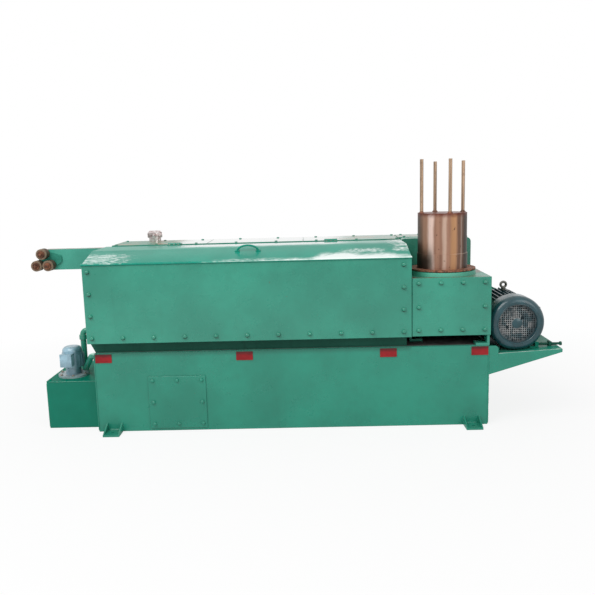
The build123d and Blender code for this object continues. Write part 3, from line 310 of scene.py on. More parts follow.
def cover_enamel():
    """Gearbox enamel: dusty on its top, polished along the middle, with a painted pale reflection there."""
    look = Look("green_gearbox", shine=0.12)
    tone = tint(60, 138, 118)
    colour = look.cloudy(tone, 1.7, 4.0, 0.9, 1.12)
    top_patches = look.band(look.noise(9.0, 10.0, shift=9.0), 0.36, 0.68, 0.0, 0.9)
    colour = look.mix(look.upward(), colour, look.mix(top_patches, tone, tint(152, 138, 112)))
    # Painted pale reflection along the middle of the top faces, which are also polished there
    pale = look.times(look.upward(), painted_sheen_stretch(look, -0.9, 0.35))
    colour = look.mix(look.times(pale, 0.3), colour, tint(240, 246, 243))
    look.colour(look.chipped(colour, 34.0, 4.0, 2.0, 0.74))
    look.polish(pale)
    look.relief(look.noise(BRUSH_MARKS, 3.0), 0.0003)
    return look.material


def lid_enamel():
    """Lid enamel with a painted pale reflection along its hem, in patches at its ends and on its flat top,
    which is also polished.
    """
    look = Look("green_lid", shine=0.12)
    colour = look.cloudy(tint(32, 146, 124), 2.4, 5.0, 0.9, 1.12)
    height = look.along("Z")
    across = look.along("X")
    # The painted reflection reaches higher along the hem, at a hump and towards the right
    hem = look.band(across, -0.66, -0.5, 0.0, 0.014)
    hump = look.band(look.distance(across, 0.32), 0.04, 0.21, 0.024, 0.0)
    right = look.band(across, 0.3, 0.5, 0.0, 0.016)
    right = look.times(right, look.band(across, 0.68, 0.85, 1.0, 0.3))
    reach = look.plus(hem, look.plus(hump, right))
    ragged = look.wander(height, 0.024, 10.0, 6.0, (0.5, 1, 1))
    ragged = look.wander(ragged, 0.032, 75.0, 8.0, (0.35, 1, 1))
    # Painted pale reflection along the lid's hem, ragged at its upper end
    film = look.band(look.arithmetic("SUBTRACT", ragged, reach), *REFLECTION_END, 0.95, 0.0)
    fine = look.noise(80.0, 8.0, (0.5, 1, 1), 3.0)
    coarse = look.noise(34.0, 8.0, (0.5, 1, 1), 6.0)
    middling = look.noise(60.0, 8.0, (0.4, 1, 1), 6.0)
    # Patches of painted pale reflection: pattern, strength, then where each opens and closes along X and in
    # height
    zones = [
        (fine, 0.75, (0.2, 0.5), (0.62, 0.8), (1.236, 1.256), (1.262, 1.285)),
        (coarse, 0.9, (0.62, 0.82), (0.9, 1.0), (1.236, 1.262), (1.3, 1.4)),
        (middling, 0.62, (-1.6, -1.5), (-1.28, -0.9), (1.21, 1.23), (1.262, 1.287)),
    ]
    for pattern, share, left_end, right_end, bottom, top in zones:
        zone = look.times(look.window(across, left_end, right_end), look.window(height, bottom, top))
        cover = look.plus(pattern, look.times(zone, 0.4))
        film = look.arithmetic("MAXIMUM", film, look.band(cover, 0.74, 1.02, 0.0, share))
    inward = look.wander(look.along("Y"), 0.2, 7.0, 7.0, shift=4.0)
    flat = look.times(look.band(height, *FLAT_TOP), look.band(inward, -0.1, 0.0))
    flat = look.times(flat, painted_sheen_stretch(look, -0.85, 0.35))
    film = look.arithmetic("MAXIMUM", film, look.times(flat, 0.3))
    film = look.times(film, look.outer_side())
    # The painted pale reflection, only on the lid's outer side
    look.colour(look.mix(film, colour, tint(240, 248, 245)))
    look.polish(flat)
    look.relief(look.noise(BRUSH_MARKS, 3.0), 0.0003)
    return look.material


def lit_and_shaded_plate():
    """Base top plate: pale green along its front edge as a painted highlight, and dark further in as
    painted shade under the chamber.
    """
    look = Look("lit_and_shaded_plate", roughness=0.6, shine=0.1)
    # Painted highlight along the front edge, painted shade further in under the chamber
    shade_share = look.band(look.wander(look.along("Y"), 0.02, 20.0), -0.5, -0.478)
    dark = look.mix(look.band(look.noise(12.0, 6.0), 0.35, 0.65), tint(74, 64, 66), tint(104, 92, 94))
    look.colour(look.mix(shade_share, tint(74, 152, 132), dark))
    look.relief(look.noise(BRUSH_MARKS, 3.0), 0.0005)
    return look.material


def plain_enamel(name, tone, roughness, grime, top_share, scale=14.0, coat=0.2, shine=0.5, oil_and_shade=None):
    """Sprayed enamel with a cloudy tone, grime in patches and small chips.

    Given a pair of places along X, painted shade and oil darken it from the first to the second."""
    look = Look(name, coat=coat, shine=shine)
    colour = look.cloudy(tone, scale, 6.0, 0.78, 1.2, 0.18)
    dirt = look.band(look.noise(scale * 0.6, 6.0, shift=4.0), 0.5, 0.74, 0.0, grime)
    colour = look.mix(dirt, colour, GRIME_AND_SHADE)
    if oil_and_shade:
        # Painted shade and oil on the part's right side
        colour = look.mix(look.band(look.along("X"), *oil_and_shade, 0.0, 0.72), colour, tint(34, 90, 96))
    top_patches = look.band(look.noise(12.0, 6.0, shift=6.0), 0.35, 0.7, 0.0, top_share)
    colour = look.mix(look.times(look.upward(), top_patches), colour, DUST)
    look.colour(look.chipped(colour, scale * 4.5, 3.0, 8.0, 0.75))
    patches = look.noise(scale * 0.8, 4.0, shift=1.5)
    look.rough(look.band(patches, 0.3, 0.7, roughness - 0.07, roughness + 0.12))
    look.relief(look.noise(SPRAY_GRAIN, 3.0), 0.0005)
    return look.material


def red_enamel():
    """Red paint of the pads, with painted shade along their upper edge."""
    look = Look("red_enamel", coat=0.1, shine=0.25)
    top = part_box("red_pads")[1].z
    colour = look.cloudy(tint(140, 20, 26), 9.0, 6.0, 0.8, 1.25, 0.18)
    # Painted shade along the pads' upper edge, under the overhang above them
    drift = look.wander(look.along("Z"), 0.02, 22.0)
    painted_shade = look.band(drift, top - 0.022, top + 0.006, 0.0, 0.75)
    look.colour(look.mix(painted_shade, colour, tint(52, 26, 26)))
    look.rough(look.band(look.noise(11.0, 4.0, shift=1.5), 0.3, 0.7, 0.33, 0.52))
    look.relief(look.noise(SPRAY_GRAIN, 3.0), 0.0005)
    return look.material


def grille_enamel():
    """Guard plate paint, grey in small patches, with painted shade darkening it towards its rim."""
    look = Look("grille_enamel")
    patches = look.band(look.noise(24.0, 5.0, shift=5.0), 0.4, 0.6)
    colour = look.mix(patches, tint(60, 82, 88), tint(140, 142, 142))
    grime = look.band(look.noise(15.0, 5.0, shift=2.0), 0.54, 0.66, 0.0, 0.7)
    colour = look.mix(grime, colour, tint(34, 52, 58))
    low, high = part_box("motor_grille")
    middle = (low + high) / 2
    radius = (high.x - low.x) / 2
    # Painted shade of the recess darkens the guard plate towards its rim
    reach = look.from_axis(middle.x - 0.1 * radius, middle.z)
    look.colour(look.mix(look.band(reach, radius * 0.7, radius * 0.95, 0.0, 0.8), colour, tint(28, 46, 52)))
    look.rough(look.band(look.noise(30.0, 4.0), 0.3, 0.7, 0.42, 0.6))
    look.relief(look.noise(SPRAY_GRAIN, 3.0), 0.0004)
    return look.material


def drum_iron():
    """Turned copper-brown drum: upright streaks, upright bands of painted reflection, painted shade on its
    sides, a stained foot and a rusty rim.
    """
    look = Look("drum_iron", metallic=0.5)
    low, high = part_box("drum_barrel")
    drift = 0.05
    across = look.wander(look.along("X"), drift, 5.0, 4.0, (1, 1, 0.3))
    height = look.along("Z")
    middle = (low.x + high.x + drift) / 2
    radius = (high.x - low.x) / 2
    streaks = look.noise(1.0, 6.0, (26, 26, 0.4))
    colour = look.mix(look.band(streaks, 0.36, 0.6), tint(112, 78, 62), tint(158, 118, 97))
    # Upright bands of painted reflection, light and dark: place and width as shares of the radius,
    # strength, tone
    bands = [
        (-0.6, 0.14, 0.85, tint(236, 206, 194)),
        (-0.11, 0.13, 0.6, tint(214, 186, 168)),
        (0.28, 0.22, 0.6, tint(196, 146, 98)),
        (0.5, 0.1, 0.6, tint(92, 70, 58)),
        (0.63, 0.06, 0.5, tint(176, 164, 154)),
    ]
    for place, width, share, tone in bands:
        off = look.distance(across, middle + place * radius)
        colour = look.mix(look.band(off, width * radius * 0.2, width * radius, share, 0.0), colour, tone)
    # Painted shade darkens the drum towards its sides
    side = look.distance(across, middle - 0.09 * radius)
    colour = look.mix(look.band(side, radius * 0.7, radius * 0.9, 0.0, 0.9), colour, tint(48, 42, 34))
    left = look.band(across, middle - 0.75 * radius, middle - 0.4 * radius, 1.0, 0.0)
    stain = look.band(look.wander(height, 0.1, 9.0), *DRUM_STAIN, 0.95, 0.0)
    colour = look.mix(look.times(stain, left), colour, tint(46, 33, 28))
    line = look.band(look.distance(height, DRUM_LINE), 0.001, 0.0035, 0.4, 0.0)
    line = look.times(line, look.band(across, middle, middle + 0.1))
    colour = look.mix(line, colour, tint(206, 184, 168))
    rim = look.band(look.wander(height, 0.03, 40.0), *DRUM_RIM, 0.0, 0.9)
    colour = look.mix(rim, colour, tint(98, 42, 32))
    spots = look.band(look.noise(24.0, 3.0, shift=11.0), 0.67, 0.71, 0.0, 0.8)
    look.colour(look.mix(spots, colour, tint(70, 34, 26)))
    look.rough(look.band(streaks, 0.3, 0.7, 0.3, 0.5))
    look.relief(look.noise(1.0, 4.0, (90, 90, 700)), 0.0005)
    return look.material


def rusted(name, bright=1.0, roller=None):
    """Rusty iron. A roller, given by the corners of its box, has turning rings and painted shade on its
    body past the front face.
    """
    look = Look(name, metallic=0.35)
    worn = look.band(look.noise(90.0, 5.0, shift=3.0), 0.55, 0.72, 0.0, 0.7)
    colour = look.mix(worn, look.rusty(bright), shade(tint(164, 132, 106), bright))
    relief = look.noise(160.0, 6.0)
    if roller:
        low, high = roller
        middle = (low + high) / 2
        reach = look.from_axis(middle.x, middle.z)
        colour = look.mix(look.band(reach, 0.024, 0.032, 0.0, 0.7), colour, tint(146, 130, 108))
        relief = look.arithmetic("SINE", look.times(reach, 900.0))
        colour = look.mix(look.band(relief, 0.1, 0.9, 0.0, 0.45), colour, tint(50, 32, 26))
        # Painted shade on the roller's body past its front face
        shaded_rear = look.band(look.along("Y"), low.y + 0.004, low.y + 0.014, 0.0, 0.7)
        colour = look.mix(shaded_rear, colour, tint(54, 44, 34))
    look.colour(colour)
    look.rough(look.band(look.noise(50.0), 0.3, 0.7, 0.5, 0.8))
    look.relief(relief, 0.0006)
    return look.material


def carrier_shaded_enamel():
    """Darker green on the roller carrier's plate as painted shade beside the rollers, bare rusty iron on
    its pins.
    """
    look = Look("carrier_shaded_enamel", shine=0.2)
    # A darker green than the arm: painted shade beside the rollers
    green = look.cloudy(tint(48, 132, 113), 14.0, 6.0, 0.8, 1.15)
    roller_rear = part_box("guide_roller_upper")[1].y
    plate = look.band(look.along("Y"), roller_rear - 0.004, roller_rear)
    look.colour(look.mix(plate, look.rusty(), green))
    look.rough(look.band(look.noise(50.0), 0.3, 0.7, 0.4, 0.6))
    look.relief(look.noise(160.0, 6.0), 0.0005)
    return look.material


def drawn_steel(name, tone, roughness, stretch):
    """Bright steel with lengthwise marks and a thin brown film."""
    look = Look(name, metallic=0.8)
    marks = look.noise(1.0, 5.0, stretch)
    colour = look.mix(look.band(marks, 0.35, 0.65), shade(tone, 0.45), tone)
    film = look.band(look.noise(30.0, 6.0, shift=2.0), 0.54, 0.72, 0.0, 0.6)
    look.colour(look.mix(film, colour, tint(112, 82, 62)))
    look.rough(look.band(marks, 0.3, 0.7, roughness - 0.08, roughness + 0.12))
    look.relief(marks, 0.0004)
    return look.material


def chromed():
    """Chrome with a dull film and specks."""
    look = Look("chrome", metallic=1.0)
    film = look.band(look.noise(40.0, 6.0), 0.45, 0.7)
    look.colour(look.mix(film, tint(228, 218, 216), tint(146, 116, 112)))
    look.rough(look.band(look.noise(28.0, 5.0, shift=2.0), 0.35, 0.7, 0.1, 0.32))
    return look.material


# Painted shade and oil darken the pump's right side, from the first of these places along X to the second
pump_low, pump_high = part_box("pump_motor")
pump_middle = (pump_low.x + pump_high.x) / 2
pump_oil_and_shade = (pump_middle + 0.015, pump_middle + 0.055)
looks = {
    "base": green_enamel("green_base", BASE_GREEN, gloss=0.3, shaded_brow=True),
    "deck": green_enamel("green_deck", BASE_GREEN, gloss=0.3, shine=0.05),
    "top_plate": lit_and_shaded_plate(),
    # Pale top tone: a painted highlight on the gussets' top edges
    "bracket": green_enamel("green_bracket", BASE_GREEN, top_share=1.6, top_tone=tint(206, 226, 216)),
    "panel": green_enamel("green_panel", tint(46, 139, 117)),
    "housing": green_enamel("green_housing", tint(46, 138, 116), top_share=1.3, top_tone=BROWN_DUST, shine=0.1),
    # A lighter green than the panels: painted light that offsets the bearing ring's shade
    "ring": green_enamel("green_ring_painted_light", tint(86, 172, 148)),
    # A lighter green than the panels: painted light on the guide arm
    "arm": green_enamel("green_arm_painted_light", tint(70, 158, 138), top_share=1.2, top_tone=tint(138, 78, 70), shine=0.3),
    "lid": lid_enamel(),
    "gearbox": cover_enamel(),
    "guard": green_enamel("green_guard", tint(58, 140, 118), top_share=0.2, grime=0.25),
    "tank": green_enamel("green_tank", TANK_GREEN, gloss=0.4, shine=0.2),
    "tank_top": green_enamel("green_tank_top", TANK_GREEN, top_share=0, gloss=0.4, shine=0.02),
    # Darker green as painted shade on the plinth, the chamber's floor and the tension screws
    "shade": green_enamel("green_painted_shade", tint(38, 88, 74), grime=0.4, gloss=0.45, shine=0.05),
    # Pale top tone: a painted highlight on the tops of the pipes and their bends
    "pipe": green_enamel("green_pipe", tint(42, 138, 114), top_share=1.5, gloss=0.16,
                         top_tone=tint(196, 232, 216)),
    # Bolt heads with painted shade on their faces that look down
    "bolt": green_enamel("green_bolt", tint(40, 136, 112), gloss=0.16, painted_shade=0.85),
    "red": red_enamel(),
    "motor": plain_enamel("motor_enamel", tint(24, 64, 72), 0.28, grime=0.25, top_share=0.05, coat=0.25),
    "grille": grille_enamel(),
    "fan": plain_enamel("fan_black", tint(24, 36, 40), 0.5, grime=0.3, top_share=0.0, scale=20.0, coat=0.0,
                        shine=0.15),
    "pump": plain_enamel("pump_enamel", tint(146, 178, 193), 0.3, grime=0.2, top_share=0.05, scale=16.0,
                         oil_and_shade=pump_oil_and_shade),
    "flange": plain_enamel("flange_grey", tint(146, 164, 168), 0.45, grime=0.3, top_share=0.1, scale=22.0),
    "drum": drum_iron(),
    "drum_flange": rusted("drum_flange_iron", bright=1.3),
    "rod": drawn_steel("rod_steel", tint(190, 160, 134), 0.4, (150, 150, 2.5)),
    "steel": drawn_steel("plain_steel", tint(168, 160, 148), 0.34, (40, 40, 40)),
    "eye": drawn_steel("eye_steel", tint(112, 112, 106), 0.4, (40, 40, 40)),
    "capstan": drawn_steel("capstan_steel", tint(188, 186, 180), 0.26, (12, 260, 12)),
    "rust": rusted("rusty_iron"),
    "carrier": carrier_shaded_enamel(),
    "chrome": chromed(),
}
node_looks = {
    "base": ["base_front_wall", "base_rear_wall", "base_left_wall", "base_right_wall", "inspection_cover",
             "anchor_feet", "corner_lug"],
    "deck": ["bracket_deck"],
    "top_plate": ["base_top_plate"],
    "bracket": ["bracket_gussets"],
    "tank": ["tank_shell"],
    "tank_top": ["tank_top"],
    "panel": ["chamber_front_plate", "chamber_left_wall", "chamber_right_wall", "drum_housing_cover",
              "drum_housing_feet", "hinge_fixed_leaves", "hinge_moving_leaves"],
    "housing": ["drum_housing"],
    "ring": ["drum_bearing_ring"],
    "arm": ["guide_arm"],
    "lid": ["lid_sheet", "lid_handle"],
    "gearbox": ["gearbox_main", "gearbox_input_end", "gearbox_covers", "bearing_caps"],
    "guard": ["belt_guard"],
    "shade": ["chamber_plinth", "chamber_floor", "tension_screws"],
    "pipe": ["riser_pipe", "return_pipe"],
    "red": ["red_pads"],
    "motor": ["motor_frame", "motor_fan_cover", "motor_end_shield", "motor_terminal_box"],
    "grille": ["motor_grille"],
    "pump": ["pump_motor"],
    "flange": ["pump_flange"],
    "drum": ["drum_barrel"],
    "drum_flange": ["drum_flange"],
    "rod": ["drum_rods"],
    "steel": ["die_holders"],
    "eye": ["motor_eyebolt"],
    "capstan": ["capstans"],
    "carrier": ["roller_carrier"],
    "chrome": ["breather_cap"],
}
for roller in ROLLERS:
    looks["roller_" + roller] = rusted("roller_iron_" + roller, roller=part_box("guide_roller_" + roller))
    node_looks["roller_" + roller] = ["guide_roller_" + roller]
for look_name, members in node_looks.items():
    for member in members:
        mesh = nodes[member].data
        mesh.materials.clear()
        mesh.materials.append(looks[look_name])

# Plates get a real rounded edge; the widths are in metres
soft_edges = {
    0.0015: ["red_pads"],
    0.002: ["lid_sheet", "tank_shell", "tank_top", "bracket_deck"],
    0.003: ["base_front_wall", "base_rear_wall", "base_left_wall", "base_right_wall", "inspection_cover",
            "corner_lug", "chamber_front_plate", "gearbox_main", "gearbox_input_end", "gearbox_covers",
            "drum_housing", "drum_housing_cover", "drum_housing_feet", "bracket_gussets"],
    0.006: ["motor_terminal_box"],
}
for width, members in soft_edges.items():
    for member in members:
        join = nodes[member].modifiers.new("join", "WELD")
        join.merge_threshold = 0.00002
        edge = nodes[member].modifiers.new("edge", "BEVEL")
        edge.width = width
        edge.segments = 2
        edge.limit_method = "ANGLE"
        edge.angle_limit = math.radians(40)
        nodes[member].modifiers.new("shading", "WEIGHTED_NORMAL")

FACING = {
    "front": Matrix.Rotation(math.radians(90), 4, "X"),
    "rear": Matrix.Rotation(math.radians(-90), 4, "X"),
    "up": Matrix.Identity(4),
    "down": Matrix.Rotation(math.pi, 4, "X"),
    "right": Matrix.Rotation(math.radians(90), 4, "Y"),
}

# Bolt heads: size across the flats
PLATE_BOLT = 0.03
INSPECTION_BOLT = 0.026
GEARBOX_BOLT = 0.022
BEARING_CAP_BOLT = 0.019
TANK_BOLT = 0.013
MOTOR_FOOT_BOLT = 0.024
MOTOR_SHIELD_BOLT = 0.016
PUMP_FLANGE_BOLT = 0.014
ROLLER_NUT = 0.022

# Screw heads: radius
HINGE_SCREW = 0.006
GUARD_SCREW = 0.008
FAN_COVER_SCREW = 0.007
MOTOR_BOX_SCREW = 0.006
PUMP_BOX_SCREW = 0.004

# Outlines of turned details: radius and height, from the axis to the axis
GRILLE_HUB = [(0, -0.001), (0.036, -0.001), (0.036, 0.003), (0.032, 0.006), (0, 0.008)]
GRILLE_PLUG = [(0, -0.001), (0.012, -0.001), (0.012, 0.002), (0.009, 0.004), (0, 0.004)]
FAN_BOSS = [(0, 0), (0.034, 0), (0.04, -0.01), (0.04, -0.06), (0, -0.06)]
MOTOR_GLAND_NUT = [(0, 0), (0.022, 0), (0.022, 0.012), (0, 0.012)]
MOTOR_GLAND_SLEEVE = [(0, 0.012), (0.017, 0.012), (0.017, 0.026), (0.012, 0.032), (0, 0.032)]
PUMP_GLAND_NUT = [(0, 0), (0.012, 0), (0.012, 0.008), (0, 0.008)]
PUMP_GLAND_SLEEVE = [(0, 0.008), (0.009, 0.008), (0.009, 0.018), (0, 0.018)]
ROLLER_STUD = [(0, 0.012), (0.007, 0.012), (0.007, 0.019), (0.005, 0.021), (0, 0.021)]
ROD_WELD = [(0, 0), (0.021, 0), (0.019, 0.004), (0.014, 0.009), (0.0124, 0.013), (0, 0.013)]

# Lengths along X of one hinge leaf and of one anchor foot
HINGE_LEAF = 0.1
ANCHOR_FOOT = 0.116

# Spacing of a weld bead's ripples, and the sides of its section
RIPPLE = 0.007
BEAD_SIDES = 6


def standing(place, facing):
    """Frame at a place whose own Z looks out of a face."""
    return Matrix.Translation(place) @ FACING[facing]


def lathe(shape, outline, where, segments, turn=0.0):
    """Turns an outline of (radius, height), from the axis to the axis, about the frame's own Z."""
    rings = []
    for radius, height in outline:
        if radius == 0:
            rings.append([shape.verts.new(where @ Vector((0, 0, height)))])
            continue
        ring = []
        for step in range(segments):
            angle = turn + 2 * math.pi * step / segments
            spot = Vector((radius * math.cos(angle), radius * math.sin(angle), height))
            ring.append(shape.verts.new(where @ spot))
        rings.append(ring)
    for first, second in zip(rings, rings[1:]):
        for step in range(segments):
            after = (step + 1) % segments
            corners = [first[step % len(first)], first[after % len(first)],
                       second[after % len(second)], second[step % len(second)]]
            corners = list(dict.fromkeys(corners))
            if len(corners) > 2:
                shape.faces.new(corners)


def slab(shape, low, high, where=Matrix.Identity(4), edge=0.0):
    """Box between two corners, with bevelled edges."""
    made = bmesh.ops.create_cube(shape, size=1.0)["verts"]
    size = Vector(high) - Vector(low)
    middle = (Vector(high) + Vector(low)) / 2
    for vert in made:
        vert.co = where @ (Vector([a * b for a, b in zip(vert.co, size)]) + middle)
    if edge:
        edges = list({line for vert in made for line in vert.link_edges})
        bmesh.ops.bevel(shape, geom=edges, offset=edge, segments=2, affect="EDGES", profile=0.5)


def hex_bolt(shape, where, across, washer=True):
    """Hexagon head with a chamfered top, turned by chance, on a washer."""
    head = across * 0.62
    lift = across * 0.12 if washer else 0.0
    if washer:
        rim = across * 0.92
        lathe(shape, [(0, 0), (rim, 0), (rim, lift * 0.7), (across * 0.86, lift), (0, lift)], where, 24)
    corner = across / math.sqrt(3)
    top = lift + head
    lathe(shape, [(0, lift), (corner, lift), (corner, lift + head * 0.8), (corner * 0.84, top), (0, top)],
          where, 6, chance.uniform(0, math.pi / 3))


def painted_bolt(shape, where, across, rise=1.0):
    """Bolt head rounded off by many coats of paint; rise scales its height."""
    radius = across / 2
    high = radius * rise
    lathe(shape, [(0, 0), (radius * 1.08, 0), (radius, high * 0.2), (radius * 0.98, high * 0.62),
                  (radius * 0.84, high * 0.94), (radius * 0.5, high * 1.1), (0, high * 1.16)], where, 20)


def round_screw(shape, where, radius):
    """Low domed screw head."""
    lathe(shape, [(0, 0), (radius, 0), (radius, radius * 0.25), (radius * 0.75, radius * 0.55),
                  (radius * 0.35, radius * 0.66), (0, radius * 0.66)], where, 16)


def bead(shape, start, end, radius):
    """Rippled weld bead along a straight run, thin at both ends."""
    start = Vector(start)
    run = Vector(end) - start
    ahead = run.normalized()
    side = ahead.orthogonal().normalized()
    other = ahead.cross(side)
    count = max(2, int(run.length / RIPPLE))
    angles = [2 * math.pi * corner / BEAD_SIDES for corner in range(BEAD_SIDES)]
    rings = []
    for index in range(count + 1):
        size = radius * (1.0 + 0.16 * math.cos(index * math.pi) + chance.uniform(-0.12, 0.12))
        if index in (0, count):
            size *= 0.4
        centre = start + run * index / count
        rings.append([shape.verts.new(centre + size * (math.cos(angle) * side + math.sin(angle) * other))
                      for angle in angles])
    for first, second in zip(rings, rings[1:]):
        for corner in range(BEAD_SIDES):
            after = (corner + 1) % BEAD_SIDES
            shape.faces.new([first[corner], first[after], second[after], second[corner]])
    shape.faces.new(rings[0])
    shape.faces.new(rings[-1])


def piece(name, shape, look, body="machine", sharp=35):
    """Finishes a mesh as a named piece that moves with a body; sharp is in degrees."""
    bmesh.ops.recalc_face_normals(shape, faces=shape.faces)
    mesh = bpy.data.meshes.new(name)
    shape.to_mesh(mesh)
    shape.free()
    mesh.shade_smooth()
    mesh.set_sharp_from_angle(angle=math.radians(sharp))
    mesh.materials.append(looks[look])
    made = bpy.data.objects.new(name, mesh)
    bpy.context.scene.collection.objects.link(made)
    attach(made, body)


def bolts(name, places, facing, across, look="steel", washer=True):
    """One piece with a hexagon bolt at each place."""
    shape = bmesh.new()
    for place in places:
        hex_bolt(shape, standing(place, facing), across, washer)
    piece(name, shape, look)


def painted_bolts(name, places, facing, across, look="bolt", rise=1.0):
    """One piece with a painted bolt head at each place."""
    shape = bmesh.new()
    for place in places:
        painted_bolt(shape, standing(place, facing), across, rise)
    piece(name, shape, look, sharp=60)


def screws(name, places, facing, radius, look, body="machine"):
    """One piece with a domed screw at each place."""
    shape = bmesh.new()
    for place in places:
        round_screw(shape, standing(place, facing), radius)
    piece(name, shape, look, body)


def turnings(name, outline, places, facing, segments, look, body="machine"):
    """One piece with a turned shape at each place."""
    shape = bmesh.new()
    for place in places:
        lathe(shape, outline, standing(place, facing), segments)
    piece(name, shape, look, body)


def weld(name, runs, look):
    """One piece with a bead along each run, given by its two ends and the bead's radius."""
    shape = bmesh.new()
    for start, end, radius in runs:
        bead(shape, start, end, radius)
    piece(name, shape, look, sharp=80)


def spread(first, last, count):
    """Evenly spaced numbers."""
    return [first + (last - first) * index / (count - 1) for index in range(count)]


def around(centre, radius, count, plane, turn=0.0):
    """Places on a circle, in the plane XY or XZ."""
    places = []
    for index in range(count):
        angle = turn + 2 * math.pi * index / count
        one, two = radius * math.cos(angle), radius * math.sin(angle)
        offset = (one, two, 0) if plane == "XY" else (one, 0, two)
        places.append(Vector(centre) + Vector(offset))
    return places


def front_bolts():
    """Bolts of the three front plates, as far from the plates' edges as in the photo."""
    low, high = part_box("chamber_front_plate")
    left, right, bottom, top = low.x + 0.039, high.x - 0.055, low.z + 0.04, high.z - 0.042
    places = [(x, low.y, bottom) for x in spread(left, right, 11)]
    for x in (left, right):
        places += [(x, low.y, z) for z in spread(bottom, top, 4)[1:]]
    painted_bolts("front_plate_bolts", places, "front", PLATE_BOLT)
    low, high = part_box("drum_housing_cover")
    left, right, bottom, top = low.x + 0.046, high.x - 0.044, low.z + 0.042, high.z - 0.036
    places = [(x, low.y, z) for x in spread(left, right, 4) for z in (bottom, top)]
    places += [(x, low.y, (low.z + high.z) / 2) for x in (left, right)]
    painted_bolts("housing_cover_bolts", places, "front", PLATE_BOLT)
    low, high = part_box("inspection_cover")
    columns = spread(low.x + 0.034, high.x - 0.03, 3)
    rows = spread(low.z + 0.034, high.z - 0.03, 3)
    places = [(x, low.y, z) for x in columns for z in rows if (x, z) != (columns[1], rows[1])]
    painted_bolts("inspection_cover_bolts", places, "front", INSPECTION_BOLT, "base")


def gearbox_bolts():
    """Bolts along both edges of the gearbox covers, clear of the hinges, and round the bearing caps."""
    low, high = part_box("gearbox_covers")
    guard_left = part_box("belt_guard")[0].x
    leaf_low, leaf_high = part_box("hinge_fixed_leaves")
    leaf_middles = (leaf_low.x + HINGE_LEAF / 2, leaf_high.x - HINGE_LEAF / 2)
    inset = 0.03
    front, rear, top = low.y + inset, high.y - inset, high.z
    first = low.x + 0.0305
    pitch = 0.315
    places = []
    for index in range(8):
        x = first + pitch * index
        if all(abs(x - middle) > HINGE_LEAF * 0.75 for middle in leaf_middles):
            places.append((x, front, top))
        places.append((x, rear, top))
    input_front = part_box("gearbox_input_end")[0].y
    for x in spread(guard_left + 0.05, high.x - 0.05, 4):
        places += [(x, input_front + inset, top), (x, rear, top)]
    painted_bolts("gearbox_cover_bolts", places, "up", GEARBOX_BOLT, "gearbox", 0.55)
    low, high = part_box("bearing_caps")
    across = high.z - low.z
    places = []
    for x in spread(low.x + across / 2, high.x - across / 2, 6):
        places += around((x, high.y, (low.z + high.z) / 2), across * 0.41, 6, "XZ", math.pi / 6)
    painted_bolts("bearing_cap_bolts", places, "rear", BEARING_CAP_BOLT, "gearbox")


def hinge_screws():
    """Three screws in each hinge leaf."""
    # Node, body, place of the row as a share of the depth, and the leaf's drop below the knuckle's top
    leaves = (("hinge_fixed_leaves", "machine", 0.7, 0.008), ("hinge_moving_leaves", "lid", 0.35, 0.0135))
    for node, body, row, drop in leaves:
        low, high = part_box(node)
        y = low.y + (high.y - low.y) * row
        places = []
        for start in (low.x, high.x - HINGE_LEAF):
            places += [(start + HINGE_LEAF * share, y, high.z - drop) for share in (0.16, 0.5, 0.84)]
        screws(node.replace("leaves", "screws"), places, "up", HINGE_SCREW, "steel", body)


def welds():
    """Weld beads on the base's corners, feet, bracket and tank."""
    # Most beads stop this far short of the ends of a seam
    gap = 0.01
    low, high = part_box("base_front_wall")
    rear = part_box("base_rear_wall")[1].y
    runs = [((x, y, gap), (x, y, high.z - gap), 0.0045) for x in (low.x, high.x) for y in (low.y, rear)]
    # Heights of the seams on an anchor foot: along its plate, and up its two ribs
    plate_seam = 0.016
    rib_foot, rib_top = 0.012, 0.062
    foot_low, foot_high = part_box("anchor_feet")
    for left in (foot_low.x, foot_high.x - ANCHOR_FOOT):
        right = left + ANCHOR_FOOT
        for y in (low.y - 0.001, rear + 0.001):
            runs.append(((left + 0.012, y, plate_seam), (right - 0.012, y, plate_seam), 0.005))
            runs += [((x, y, rib_foot), (x, y, rib_top), 0.004) for x in (left, right)]
    weld("base_welds", runs, "base")
    deck_low, deck_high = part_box("bracket_deck")
    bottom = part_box("bracket_gussets")[0].z
    deck_top = bottom + 0.15
    x = deck_low.x + 0.001
    runs = [((x, deck_low.y + 0.02, deck_top), (x, deck_high.y - gap, deck_top), 0.005)]
    for y in (deck_low.y + 0.002, deck_high.y - 0.015):
        runs.append(((x, y, bottom + gap), (x, y, deck_top - 0.015), 0.005))
    weld("bracket_welds", runs, "base")
    low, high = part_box("tank_shell")
    x = low.x + 0.001
    runs = [((x, y, gap), (x, y, high.z - gap), 0.0035) for y in (low.y + 0.001, high.y - 0.001)]
    runs.append(((low.x + gap, low.y, high.z), (high.x - gap, low.y, high.z), 0.003))
    runs.append(((low.x, low.y + gap, high.z), (low.x, high.y - gap, high.z), 0.003))
    # The tank's beads take the lighter bolt green, a painted highlight along the tank's edges
    weld("tank_welds", runs, "bolt")


